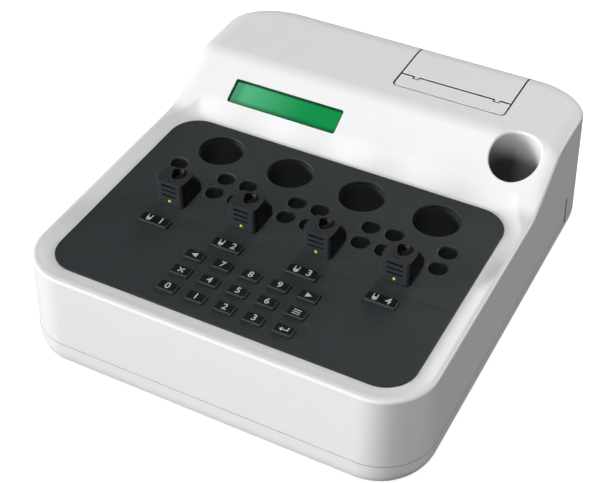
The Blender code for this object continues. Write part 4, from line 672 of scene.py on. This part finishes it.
def head_outline(back, draw):
    """Outline of a head with its back at a distance, drawn in by draw."""
    side_back = back - 0.0034
    right = []
    for angle in [QUARTER * (i / 6 - 1) for i in range(7)]:
        right.append((0.0074 + 0.0022 * cos(angle) - draw,
                      HEAD_FRONT + 0.005 + (0.005 - draw) * sin(angle)))
    right += [(0.0096 - draw, side_back - 0.0012), (0.0093 - draw, side_back + 0.0004),
              (0.007 - draw, back - 0.0007), (0.0062 - draw, back - draw)]
    return right + [(-x, y) for x, y in right[::-1]]


def at_depth(outline, y):
    """Points of an outline in X and Z at a depth."""
    return [Vector((x, y, z)) for x, z in outline]


def ribbon(path, half):
    """Outline of a strip along a path."""
    sides = []
    for i in range(len(path)):
        ax, ay = path[max(i - 1, 0)]
        bx, by = path[min(i + 1, len(path) - 1)]
        length = hypot(bx - ax, by - ay)
        sides.append((half * (ay - by) / length, half * (bx - ax) / length))
    near = [(px + dx, py + dy) for (px, py), (dx, dy) in zip(path, sides)]
    far = [(px - dx, py - dy) for (px, py), (dx, dy) in zip(path, sides)]
    return near + far[::-1]


# The mouth's outline, the bead along its front left edge, and sections through the tongue from back
# to front in mm: its free edge, its ridge, the hollow behind it and its root, each as x, y and height.
MOUTH_DEPTH = 0.006
MOUTH = [(x / 1000, y / 1000) for x, y in (
    (-3.7, 1.8), (-3.8, 3.0), (-3.4, 4.2), (-2.4, 4.9), (-1.0, 5.2), (0.6, 5.6), (2.4, 5.5), (4.0, 5.0),
    (5.4, 4.0), (6.2, 2.6), (6.3, 0.9), (5.7, -1.0), (4.6, -2.8), (3.2, -4.0), (2.0, -4.5), (1.0, -5.0),
    (0.1, -5.2), (-0.8, -4.5), (-1.7, -2.9), (-2.7, -0.8))]
BEAD = [(x / 1000, y / 1000) for x, y in (
    (-3.9, -0.4), (-3.3, -2.2), (-2.3, -3.9), (-1.0, -5.4), (0.6, -6.1), (2.4, -6.2))]
BEAD_HALF = 0.0004
BEAD_RISE = 0.0007
BEAD_ROOT = 0.001
TONGUE = (((-0.5, 4.8, -0.6), (0.2, 6.0, -0.3), (1.6, 6.3, -0.3), (3.2, 6.4, -0.3)),
          ((0.9, 3.8, -1.4), (1.8, 5.3, 0.2), (3.2, 5.6, -0.6), (4.6, 5.9, -0.3)),
          ((1.0, 2.8, -2.2), (3.1, 4.1, 0.3), (4.3, 4.4, -1.3), (6.2, 4.8, -0.3)),
          ((0.4, 1.9, -2.4), (3.6, 2.6, 0.3), (4.8, 2.6, -1.6), (6.9, 2.8, -0.3)),
          ((0.1, 0.9, -2.4), (3.2, 1.2, 0.3), (4.6, 0.8, -1.7), (6.9, 0.6, -0.3)),
          ((0.1, -0.5, -2.4), (2.2, -0.1, 0.2), (3.8, -1.0, -1.7), (6.2, -1.6, -0.3)),
          ((0.5, -1.9, -2.2), (1.4, -1.2, 0.0), (2.9, -2.3, -1.7), (4.8, -3.6, -0.3)),
          ((0.9, -3.2, -2.0), (1.2, -2.6, -0.4), (2.2, -3.2, -1.4), (3.4, -4.8, -0.4)),
          ((1.2, -4.4, -1.6), (1.3, -4.2, -1.0), (1.6, -4.4, -1.2), (2.2, -5.2, -0.8)))
TONGUE_THICKNESS = Vector((0, 0, 0.0007))
TONGUE_SIDES = 8
HOLLOW_SIDE = 1
head_abs = moulded("dark_grey_abs_for_heads", "#262A2D", "#23272A", 0.5, 0.4, 0.004)
# Painted shade: the heads' sides get a nearly black copy of their plastic, darker than the top, with a faint
# sheen.
side_shade_black = moulded("black_abs_painted_side_shade", "#0C0D10", "#090A0D", 0.45, 2.0, 0.001)
set_node(side_shade_black.node_tree.nodes["Principled BSDF"], {"Specular IOR Level": 0.08})
# Painted shade: a near-black lining for the mouth, the slots and the tongue's hollow, where shade falls, so
# they read as holes.
painted_shade_lining = moulded("black_painted_shade_lining", "#050606", "#030303", 0.95, 0.3, 0.01)
# Lamp lens: yellow-green diffusing plastic that glows a little, as a lit lamp does in daylight.
lamp_lens, tree, shader, coords = new_material("diffused_green_lamp_lens")
die = add_node(tree, "TexNoise", {"Scale": 900.0, "Detail": 1.0}, {"Vector": (coords, "Object")})
glow = add_node(tree, "Mix", {"data_type": 'RGBA', 6: linear("#AFC944"), 7: linear("#8FAE2C")},
                {0: (die, "Fac")})
set_node(shader, {"Emission Strength": 0.35, "Roughness": 0.25},
         {"Base Color": (glow, 2), "Emission Color": (glow, 2)})

for number, x in enumerate(CHANNELS, 1):
    place = Vector((x, HEAD_Y, PANEL_LEVEL))
    face_y = HEAD_Y + HEAD_FRONT
    head = make_object(f"head_{number}", lofted([
        [place + Vector((px, py, z)) for px, py in head_outline(back, draw)]
        for back, z, draw in ((HEAD_FOOT_BACK, SEAM, 0), (HEAD_FOOT_BACK, HEAD_FOOT_HEIGHT, 0),
                              (HEAD_BACK, HEAD_HEIGHT - 0.0004, 0), (HEAD_BACK, HEAD_HEIGHT - 0.0001, 0.0001),
                              (HEAD_BACK, HEAD_HEIGHT, 0.0004))]))
    for outline, low, high, join in (
            (circle(SPIGOT_RADIUS, 40), -SPIGOT_DEPTH, HEAD_FOOT_HEIGHT, True),
            (circle(BORE_RADIUS, 40), BORE_LOW, BORE_HIGH, False),
            (MOUTH, HEAD_HEIGHT - MOUTH_DEPTH, HEAD_HEIGHT + OVERRUN, False),
            (ribbon(BEAD, BEAD_HALF), HEAD_HEIGHT - BEAD_ROOT, HEAD_HEIGHT + BEAD_RISE, True)):
        carve(head, prism(moved(outline, x, HEAD_Y), PANEL_LEVEL + low, PANEL_LEVEL + high), join=join)
    hole = circle(LAMP_HOLE[0], 32, (x, PANEL_LEVEL + LAMP_LEVEL))
    cuts = [box(x - GROOVE_HALF, x + GROOVE_HALF, face_y - OVERRUN, face_y + GROOVE_DEPTH,
                PANEL_LEVEL + level - half, PANEL_LEVEL + level + half) for level, half in GROOVES]
    carve(head, *cuts, [at_depth(hole, y) for y in (face_y - OVERRUN, face_y + LAMP_HOLE[1])])
    paint(head, head_abs, painted_shade_lining, side_shade_black)
    for face in head.data.polygons:
        spot = face.center - place
        # Painted shade: the inside of the mouth and the slots get the near-black lining.
        inside = hypot(spot.x - 0.001, spot.y) < 0.0062 and spot.z < HEAD_HEIGHT - 0.0006
        slot = (HEAD_FRONT + 0.0002 < spot.y < HEAD_FRONT + GROOVE_DEPTH + HAIR
                and abs(spot.x) < GROOVE_HALF + HAIR and spot.z > 0.006)
        # Painted shade: the upright flanks get the nearly black copy of the head's plastic.
        shaded_flank = abs(face.normal.x) > 0.35 and abs(spot.x) > 0.0064 and (abs(spot.x) > 0.0088 or spot.y > 0)
        face.material_index = 2 if shaded_flank else 1 if slot or inside else 0
    seat(head, "housing", "head_plastic", f"measuring_head_{number}")
    rings = []
    for row in TONGUE:
        upper = [place + Vector((px / 1000, py / 1000, HEAD_HEIGHT + pz / 1000)) for px, py, pz in row]
        rings.append(upper + [point - TONGUE_THICKNESS for point in upper[::-1]])
    tongue = make_object(f"spring_tongue_{number}", lofted(rings))
    paint(tongue, head_abs, painted_shade_lining)
    # Painted shade: the tongue's hollow side gets the near-black lining.
    for face in tongue.data.polygons:
        face.material_index = 1 if face.index % TONGUE_SIDES == HOLLOW_SIDE else 0
    seat(tongue, "housing", "head_plastic", sharp_degrees=20)
    rings = [at_depth(circle(radius, 24, (x, PANEL_LEVEL + LAMP_LEVEL)), face_y + depth)
             for radius, depth in LENS_STEPS]
    lens = make_object(f"lamp_{number}", lofted(rings))
    paint(lens, lamp_lens)
    seat(lens, "housing", "lamp_lens", f"head_lamp_{number}")

# Upper housing: one white ABS moulding with leaning walls, a rounded rim round the panel, a sloped
# face for the screen and a flat top for the printer. It screws down on the tray's pillars.
TOP_LEVEL = 0.0915
CREST_RISE = 0.0023
TOP_RISE = TOP_LEVEL - PANEL_LEVEL
RIM_EDGE = 0.0018
SIDE_EDGE = 0.0022
SHOULDER_DROP = 0.0022
SHOULDER_WIDTH = 0.0095
BACK_EDGE = 0.02
SLOPE_START = behind(0.164)
SLOPE_RUN = 0.0465
SLOPE_ANGLE = atan2(TOP_RISE, SLOPE_RUN)
CREST_RADIUS = 0.022
FOOT_FILLET = 0.02
LEDGE_LEVEL = PANEL_UNDERSIDE - SEAM
LEDGE_UNDERSIDE = LEDGE_LEVEL - 0.0025


def slope_crest(drop, steps):
    """Round between the slope and the top, all lowered square to themselves by drop."""
    start = SLOPE_START + drop / sin(SLOPE_ANGLE)
    rise = TOP_RISE - drop
    radius = CREST_RADIUS - drop
    centre_y = start + rise / tan(SLOPE_ANGLE) + radius * tan(SLOPE_ANGLE / 2)
    centre_z = PANEL_LEVEL + rise - radius
    angles = [QUARTER + SLOPE_ANGLE * (1 - i / steps) for i in range(steps + 1)]
    return [(centre_y + radius * cos(a), centre_z + radius * sin(a)) for a in angles]


def outer_profile():
    """Top of the housing from the side: level crest, round foot, slope, round crest, top."""
    corner = SLOPE_START + CREST_RISE / tan(SLOPE_ANGLE)
    start = corner - FOOT_FILLET * tan(SLOPE_ANGLE / 2)
    foot = [(start + FOOT_FILLET * sin(a), PANEL_LEVEL + CREST_RISE + FOOT_FILLET * (1 - cos(a)))
            for a in [SLOPE_ANGLE * i / 10 for i in range(11)]]
    return foot + slope_crest(0, 16)


def inner_profile():
    """Roof inside the housing: flat under the panel's ledge, then under the slope."""
    step_y = behind(PANEL_DEPTH) + WALL
    riser_y = step_y + WALL / 2
    start = SLOPE_START + WALL / sin(SLOPE_ANGLE)
    riser_z = PANEL_LEVEL + (riser_y - start) * tan(SLOPE_ANGLE)
    return [(step_y, LEDGE_UNDERSIDE), (riser_y, riser_z)] + slope_crest(WALL, 8)


def height_at(profile, y):
    if y <= profile[0][0]:
        return profile[0][1]
    for (y0, z0), (y1, z1) in zip(profile, profile[1:]):
        if y <= y1:
            return z0 + (z1 - z0) * (y - y0) / (y1 - y0)
    return profile[-1][1]


def height_share(height):
    """0 at the panel's rim, 1 at the top."""
    return min(max((height - PANEL_LEVEL - CREST_RISE) / (TOP_RISE - CREST_RISE), 0), 1)


def shoulder(height, distance):
    """Fall of the top towards the side walls, which grows with the height of the profile."""
    near = max(1 - distance / SHOULDER_WIDTH, 0)
    return SHOULDER_DROP * min(2 * height_share(height), 1) * near * near


def edge_radius_at(mark, height, drop):
    """Radius of the top's outer edge, which is small at the rim and large at the back."""
    radius = RIM_EDGE + (SIDE_EDGE - RIM_EDGE) * height_share(height + drop)
    if mark[0] == "back":
        radius += (BACK_EDGE - SIDE_EDGE) * sin(mark[1])
    return max(radius - drop, SEAM)


def outside_panel(x, y):
    """Distance outside the panel's outline, which is round at its corners."""
    along = abs(x) - PANEL_HALF + PANEL_CORNER
    across = abs(y - behind(PANEL_DEPTH / 2)) - PANEL_DEPTH / 2 + PANEL_CORNER
    return hypot(max(along, 0), max(across, 0)) + min(max(along, across), 0) - PANEL_CORNER


def softer(a, b, blend, larger):
    """Larger or smaller of two heights, with a round join between them."""
    share = max(blend - abs(a - b), 0) ** 2 / (4 * blend)
    return max(a, b) + share if larger else min(a, b) - share


# The dish falls from the rim's crest to just below the panel, and sweeps up into the slope behind it.
DISH_DROP = 0.0008
DISH_WIDTH = 0.0094
SWEEP_START = 0.1664
SWEEP_RUN = 0.0156
SWEEP_LIFT = 0.14


def top_height(profile, x, y):
    """Height of the housing's top: its side profile, dished down to the panel's edge."""
    rim = height_at(profile, y)
    floor = PANEL_LEVEL - DISH_DROP
    dish = floor + (CREST_RISE + DISH_DROP) * (max(outside_panel(x, y), 0) / DISH_WIDTH) ** 2
    slant = tan(SLOPE_ANGLE)
    run = min(max((y - behind(SWEEP_START)) / SWEEP_RUN, 0), 1)
    foot = behind(SWEEP_START + SWEEP_RUN)
    rise = (foot - SLOPE_START) * slant + DISH_DROP
    sweep = floor + run * run * (3 - 2 * run) * rise
    sweep += SWEEP_RUN * run * (1 - run) * (SWEEP_LIFT * (1 - run) - slant * run)
    middle = sweep if y < foot else PANEL_LEVEL + (y - SLOPE_START) * slant
    return min(rim, softer(softer(rim, dish, 0.0003, False), min(middle, rim), 0.0006, True))


def shell(profile, drop, bottom, corner_steps, edge_steps, stations=None, columns=()):
    """Closed shell: walls, the round edge above them, and the top in strips or in a grid of columns."""
    bm = bmesh.new()
    marks = wall_marks(corner_steps, stations or [y for y, _ in profile])
    rings = [[wall_place(mark, bottom, drop) for mark in marks]]
    for angle in [QUARTER * step / edge_steps for step in range(edge_steps + 1)]:
        ring = []
        for mark in marks:
            height = height_at(profile, wall_place(mark, PANEL_LEVEL, drop).y)
            radius = edge_radius_at(mark, height, drop)
            if columns:
                height -= shoulder(height, radius)
            ring.append(wall_place(mark, height - radius * (1 - sin(angle)),
                                   drop + radius * (1 - cos(angle))))
        rings.append(ring)
    rows = skin(bm, [mirrored(ring) for ring in rings])
    top = rows[-1]
    across = []
    for i in range(len(marks)):
        right, left = top[i].co, top[-1 - i].co
        inside = []
        if columns and 0 < i < len(marks) - 1:
            places = [right.x - offset for offset in columns]
            places += [-x for x in places[::-1]]
            rim = height_at(profile, right.y)
            edge = right.x + edge_radius_at(marks[i], rim, drop)
            heights = [top_height(profile, x, right.y) - shoulder(rim, edge - abs(x)) for x in places]
            inside = [bm.verts.new((x, right.y, z)) for x, z in zip(places, heights)]
        across.append([top[i]] + inside + [top[-1 - i]])
    for near, far in zip(across, across[1:]):
        if len(near) == len(far):
            for i in range(len(near) - 1):
                bm.faces.new((near[i], far[i], far[i + 1], near[i + 1]))
        else:
            bm.faces.new(near[::-1] + far)
    bm.faces.new(rows[0][::-1])
    return bm


# The top is one height field: fine columns near the rim, coarse ones over the level middle.
stations = [y for y, _ in outer_profile()]
stations += [y for y in [behind(0.14 + 0.0015 * i) for i in range(31)]
             if min(abs(y - s) for s in stations) > 0.0003]
columns = [mm / 1000 for mm in (0.3, 0.6, 1, 1.5, 2.1, 2.8, 3.6, 4.5, 5.5, 6.5, 7.5, 8.5, 9.5, 10.5, 12, 13.5,
                                15, 17, 19, 21, 23, 25, 27.5, 30, 34, 40, 50, 60)]
bm = shell(outer_profile(), 0, PARTING_LEVEL, 24, 10, sorted(stations), columns)
housing = make_object("housing_shell", bm)

# The cavity leaves walls of 2.5 mm, the pocket's cup and the bosses of the cover's hinge pin.
POCKET = (0.103, behind(0.2))
POCKET_RADIUS = 0.016
POCKET_FLOOR = TOP_LEVEL - 0.059
CUP_WALL = 0.0018
BAY_LEFT = 0.0057
BAY_RIGHT = 0.0849
BAY_FRONT = behind(0.2262)
BAY_CORNER = 0.0035
BARREL_RADIUS = 0.0032
BOSS_WIDTH = 0.005
BOSS_REACH = 0.0042
HINGE_LEVEL = PANEL_LEVEL + 0.005
HINGE_Y = wall_place(("back", QUARTER), HINGE_LEVEL, 0).y - 0.0004 - BARREL_RADIUS
BACK = FOOTPRINT_DEPTH / 2
cavity = make_object("cavity", shell(inner_profile(), WALL, PARTING_LEVEL - OVERRUN, 12, 4))
sides = ((BAY_LEFT - BOSS_WIDTH, BAY_LEFT + OVERRUN), (BAY_RIGHT - OVERRUN, BAY_RIGHT + BOSS_WIDTH))
carve(cavity, prism(circle(POCKET_RADIUS + CUP_WALL, 48, POCKET), POCKET_FLOOR - CUP_WALL, TOP_LEVEL),
      *[box(left, right, HINGE_Y - BOSS_REACH, BACK, HINGE_LEVEL - BARREL_RADIUS, HINGE_LEVEL + BOSS_REACH)
        for left, right in sides])
carve(housing, tool=cavity)

PANEL_LEDGE = 0.004
carve(housing, prism(panel_outline(0), LEDGE_LEVEL, PANEL_LEVEL + CREST_RISE))
carve(housing, prism(panel_outline(-PANEL_LEDGE), LEDGE_UNDERSIDE - OVERRUN, PANEL_LEVEL))
carve(housing, *posts((-PILLAR_X, PILLAR_X), PILLAR_ROWS, PILLAR_RADIUS, PARTING_LEVEL,
                      LEDGE_UNDERSIDE + WALL / 2), join=True)

# The pocket's mouth flares up to the shell's face, given as widening and depth below the face.
POCKET_FLARE = ((0, 0.0014), (0.0001, 0.0009), (0.0003, 0.0005), (0.0006, 0.0002), (0.0013, -0.0003))
rings = [at_level(circle(POCKET_RADIUS, 96, POCKET), POCKET_FLOOR)]
for grow, depth in POCKET_FLARE:
    rings.append([Vector((x, y, top_height(outer_profile(), x, y) - depth))
                  for x, y in circle(POCKET_RADIUS + grow, 96, POCKET)])
rings.append([Vector((point.x, point.y, TOP_LEVEL + OVERRUN)) for point in rings[-1]])
carve(housing, rings)
BAY_LEDGE = HINGE_LEVEL - BARREL_RADIUS - 0.001
bay = rounded(BAY_LEFT, BAY_RIGHT, BAY_FRONT, BACK + OVERRUN + BAY_CORNER, BAY_CORNER, 8)
carve(housing, prism(bay, BAY_LEDGE, TOP_LEVEL + OVERRUN))

# Openings in the right and back walls for the card, the mains inlet and the data socket.
BACK_INSIDE = 0.144
INLET = (-0.104, -0.056, 0.03, 0.057)
SERIAL = (-0.0205, 0.0105, PARTING_LEVEL - OVERRUN, 0.0294)
carve(housing, slot_cutter(PARTING_LEVEL - OVERRUN, SLOT_TOP),
      *[box(left, right, BACK_INSIDE, BACK + OVERRUN, low, high)
        for left, right, low, high in (INLET, SERIAL)])

WINDOW_X = -0.0539
WINDOW_HALF = (0.0399, 0.0086)
WINDOW_RUN = 0.0277
WINDOW_CORNER = 0.0012
SCREEN_BOSSES = [(-0.0552 + i * 0.046, 0.0289 + j * 0.014) for i in (-1, 1) for j in (-1, 1)]
SCREEN_BOSS_END = -0.0099
PIN_HOLE = 0.00125
PIN_REACH = 0.0043


def on_slope(outline, off):
    """Points of an outline, given across and up the slope from its foot, at a height off its plane."""
    level, steep = cos(SLOPE_ANGLE), sin(SLOPE_ANGLE)
    return [Vector((x, SLOPE_START + run * level - off * steep, PANEL_LEVEL + run * steep + off * level))
            for x, run in outline]


def window_outline(grow):
    half_x, half_run = WINDOW_HALF[0] + grow, WINDOW_HALF[1] + grow
    return rounded(WINDOW_X - half_x, WINDOW_X + half_x, WINDOW_RUN - half_run, WINDOW_RUN + half_run,
                   WINDOW_CORNER + grow, 6)


carve(housing, [on_slope(window_outline(SEAM), off) for off in (-WALL - OVERRUN, OVERRUN)])
hinge_ring = circle(PIN_HOLE, 20, (HINGE_Y, HINGE_LEVEL))
carve(housing, beam(hinge_ring, BAY_LEFT - PIN_REACH, BAY_RIGHT + PIN_REACH))
carve(housing, *[[on_slope(circle(0.002, 20, place), off) for off in (SCREEN_BOSS_END, -WALL / 2)]
                 for place in SCREEN_BOSSES], join=True)

# Pocket's cup: pale grey plastic with painted shade that darkens it to dark grey 24 mm down, and painted
# light that keeps it paler towards the right.
cup_painted_shade = moulded("cup_with_painted_shade_and_light", "#E8EAEA", "#E0E2E2", 0.5, 0.5, 0.003)
tree = cup_painted_shade.node_tree
shader = tree.nodes["Principled BSDF"]
pale = shader.inputs["Base Color"].links[0].from_node
coords = add_node(tree, "TexCoord")
spot = add_node(tree, "SeparateXYZ", {}, {0: (coords, "Object")})
depth = add_node(tree, "MapRange", {"From Min": TOP_LEVEL - 0.001, "From Max": TOP_LEVEL - 0.024,
                                              "To Min": 0.0, "To Max": 1.0}, {"Value": (spot, "Z")})
depth_shade = add_node(tree, "Math", {"operation": 'POWER', 1: 0.55}, {0: (depth, 0)})
# Painted light: the painted shade thins out towards the cup's right side.
across = add_node(tree, "MapRange", {"From Min": POCKET[0] - 0.006, "From Max": POCKET[0] + POCKET_RADIUS,
                                               "To Min": 1.0, "To Max": 0.25}, {"Value": (spot, "X")})
share = add_node(tree, "Math", {"operation": 'MULTIPLY'}, {0: (depth_shade, 0), 1: (across, 0)})
mixed = add_node(tree, "Mix", {"data_type": 'RGBA', 7: linear("#4E4F52")}, {0: (share, 0), 6: (pale, 2)})
set_node(shader, {}, {"Base Color": (mixed, 2)})
paint(housing, white_abs, gap_shade_black, cup_painted_shade)
# Painted shade: the bay's upright edges and the card slot get the near-black finish of the gaps.
BAY_SHADE_REACH = 0.004
for face in housing.data.polygons:
    x, y, z = face.center
    upright = abs(face.normal.z) < 0.1
    in_bay = BAY_LEFT - HAIR < x < BAY_RIGHT + HAIR and y > BAY_FRONT - HAIR
    edge = x < BAY_LEFT + BAY_SHADE_REACH or x > BAY_RIGHT - BAY_SHADE_REACH or y < BAY_FRONT + BAY_SHADE_REACH
    in_pocket = hypot(x - POCKET[0], y - POCKET[1]) < POCKET_RADIUS + HAIR and z > POCKET_FLOOR - HAIR
    # The pocket's walls and floor get the cup's painted shade and painted light.
    if in_pocket and (upright or z < POCKET_FLOOR + HAIR):
        face.material_index = 2
    elif in_slot(face) or in_bay and edge and upright and z > HINGE_LEVEL:
        face.material_index = 1
seat(housing, "housing", "housing_plastic", "upper_housing")

# Screen: a green-tinted acrylic window over a one-line liquid crystal display. It is moulded as a
# shallow pan, whose dark green rim stands level with the slope's face.
# Tinted acrylic: a clear, deep green with a smooth gloss, and a painted sheen that makes it paler at its left
# end.
window_acrylic, tree, shader, coords = new_material("green_acrylic_painted_sheen")
spot = add_node(tree, "SeparateXYZ", {}, {0: (coords, "Object")})
painted_sheen = add_node(tree, "MapRange", {"From Min": -0.1, "From Max": -0.035, "To Min": 1.0, "To Max": 0.0,
                                              "interpolation_type": 'SMOOTHSTEP'}, {"Value": (spot, "X")})
colour = add_node(tree, "Mix", {"data_type": 'RGBA', 6: linear("#15904B"), 7: linear("#5CBB8B")},
                  {0: (painted_sheen, 0)})
set_node(shader, {"Roughness": 0.2, "IOR": 1.49, "Specular IOR Level": 0.1}, {"Base Color": (colour, 2)})
rim_acrylic = moulded("dark_green_acrylic_rim", "#0F4628", "#0C3C22", 0.35, 0.6, 0.002)
WINDOW_STEPS = ((0, -0.0029), (0, -0.0002), (-0.0001, -0.0001), (-0.0002, -0.0001), (-0.0002, -0.0026),
                (-0.0004, -0.0027))
bm = lofted([on_slope(window_outline(grow), off) for grow, off in WINDOW_STEPS])
bm.faces.ensure_lookup_table()
for face in bm.faces[:-1]:
    face.material_index = 1
window = make_object("screen_window", bm)
paint(window, window_acrylic, rim_acrylic)
seat(window, "housing", "screen_green", "display_window")

# Printer: a paper roll lies in a moulded trough, and the rubber platen in the cover presses the
# paper on the print head. The cover swings up on a steel pin at the back.
frame_abs = moulded("black_abs_for_the_trough", "#3A3B3D", "#333436", 0.5, 0.5, 0.006)
platen_rubber = moulded("ground_nitrile_rubber", "#343536", "#2B2C2D", 0.8, 0.3, 0.01)
thermal_paper = moulded("coated_thermal_paper", "#EFEFEA", "#E6E6E0", 0.75, 0.6, 0.004)
dress(turned_steel, "cover_hinge_pin")
dress(frame_abs, "printer_frame", "card_reader")
dress(platen_rubber, "platen_roller")
dress(thermal_paper, "paper_roll")
dress(anodised, "print_head")

LEFT = BAY_LEFT + 0.0011
RIGHT = BAY_RIGHT - 0.0011
FRONT = BAY_FRONT + 0.0009
STRIP_BACK = BAY_FRONT + 0.0145
STRIP_CORNER = BAY_CORNER - 0.0008
COVER_FRONT = BAY_FRONT + 0.016
COVER_THICKNESS = 0.0022
TONGUES = (BAY_LEFT + 0.0119, BAY_LEFT + 0.0688)
TONGUE_HALF = 0.0015
NOTCH_HALF = 0.0023
NOTCH_DEPTH = 0.0022
EDGE_BREAK = 0.0002


def strip_outline(draw):
    """Outline of the strip, drawn in by draw: two round front corners and a notch for each tongue."""
    left, right, back = LEFT + draw, RIGHT - draw, STRIP_BACK - draw
    radius = STRIP_CORNER - draw
    centre_y = FRONT + draw + radius
    turns = [QUARTER * i / 8 for i in range(9)]
    outline = [(left + radius - radius * cos(a), centre_y - radius * sin(a)) for a in turns]
    outline += [(right - radius + radius * sin(a), centre_y - radius * cos(a)) for a in turns]
    outline.append((right, back))
    wide, notch = NOTCH_HALF + draw, back - NOTCH_DEPTH
    for x in TONGUES[::-1]:
        outline += [(x + wide, back), (x + wide, notch), (x - wide, notch), (x - wide, back)]
    return outline + [(left, back)]


strip = make_object("slot_strip", lofted([
    at_level(strip_outline(draw), z)
    for draw, z in ((0, TOP_LEVEL - WALL), (0, TOP_LEVEL - EDGE_BREAK), (EDGE_BREAK, TOP_LEVEL))]))
paint(strip, white_abs, gap_shade_black)
# Painted shade: the strip's upright sides get the near-black finish of the gaps.
for face in strip.data.polygons:
    face.material_index = 1 if abs(face.normal.z) < 0.1 else 0
seat(strip, "housing", "housing_plastic", "printer_strip")


def cover_profile(drop):
    """Face of the cover from the side: its front edge, the top, and the round into the back wall."""
    level = TOP_LEVEL - drop
    points = [(COVER_FRONT, level), (COVER_FRONT + EDGE_BREAK, level)]
    radius = BACK_EDGE - drop
    for angle in [QUARTER * step / 16 for step in range(16, -1, -1)]:
        place = wall_place(("back", QUARTER), level - radius * (1 - sin(angle)),
                           drop + radius * (1 - cos(angle)))
        points.append((place.y, place.z))
    return points


PLATEN = (COVER_FRONT + 0.006, TOP_LEVEL - 0.0095)
PLATEN_HOLE = 0.00175
ARM_HALF = 0.0035
ARM_WIDTH = 0.0018
outer = cover_profile(0)
outer[0] = (COVER_FRONT, TOP_LEVEL - EDGE_BREAK)
cover = make_object("paper_cover", lofted(beam(outer + cover_profile(COVER_THICKNESS)[::-1], LEFT, RIGHT)))
joined = [beam(circle(BARREL_RADIUS, 32, (HINGE_Y, HINGE_LEVEL)), LEFT + SEAM, RIGHT - SEAM)]
joined += [box(x - TONGUE_HALF, x + TONGUE_HALF, COVER_FRONT - 0.0024, COVER_FRONT + 0.0022,
               TOP_LEVEL - 0.0018, TOP_LEVEL - SEAM) for x in TONGUES]
joined += [box(near, near + ARM_WIDTH, PLATEN[0] - ARM_HALF, PLATEN[0] + ARM_HALF, PLATEN[1] - ARM_HALF,
               TOP_LEVEL - COVER_THICKNESS / 2) for near in (LEFT + 0.003, RIGHT - 0.0048)]
carve(cover, *joined, join=True)
for ring in (hinge_ring, circle(PLATEN_HOLE, 20, PLATEN)):
    carve(cover, beam(ring, LEFT - OVERRUN, RIGHT + OVERRUN))
paint(cover, white_abs, gap_shade_black)
# Painted shade: the cover's flanks and front lip get the near-black finish of the gaps.
for face in cover.data.polygons:
    x, y, _ = face.center
    shaded_flank = min(abs(x - LEFT), abs(x - RIGHT)) < HAIR and abs(face.normal.x) > 0.9
    lip = abs(y - COVER_FRONT) < HAIR and face.normal.y < -0.9
    face.material_index = 1 if shaded_flank or lip else 0
seat(cover, "cover", "housing_plastic", "printer_cover")

# Sockets: a black mains inlet with its rocker switch and a metal-shelled data socket, both snapped
# into the back wall, and the card reader's throat behind the slot in the right wall.
socket_pbt = moulded("black_glass_filled_polyester", "#1B1C1E", "#151617", 0.5, 0.4, 0.006)
nickel = metal("nickel_plated_steel", "#B9BBBD", 0.3, 0.5)
dress(socket_pbt, "power_inlet", "power_rocker")
dress(nickel, "serial_socket")
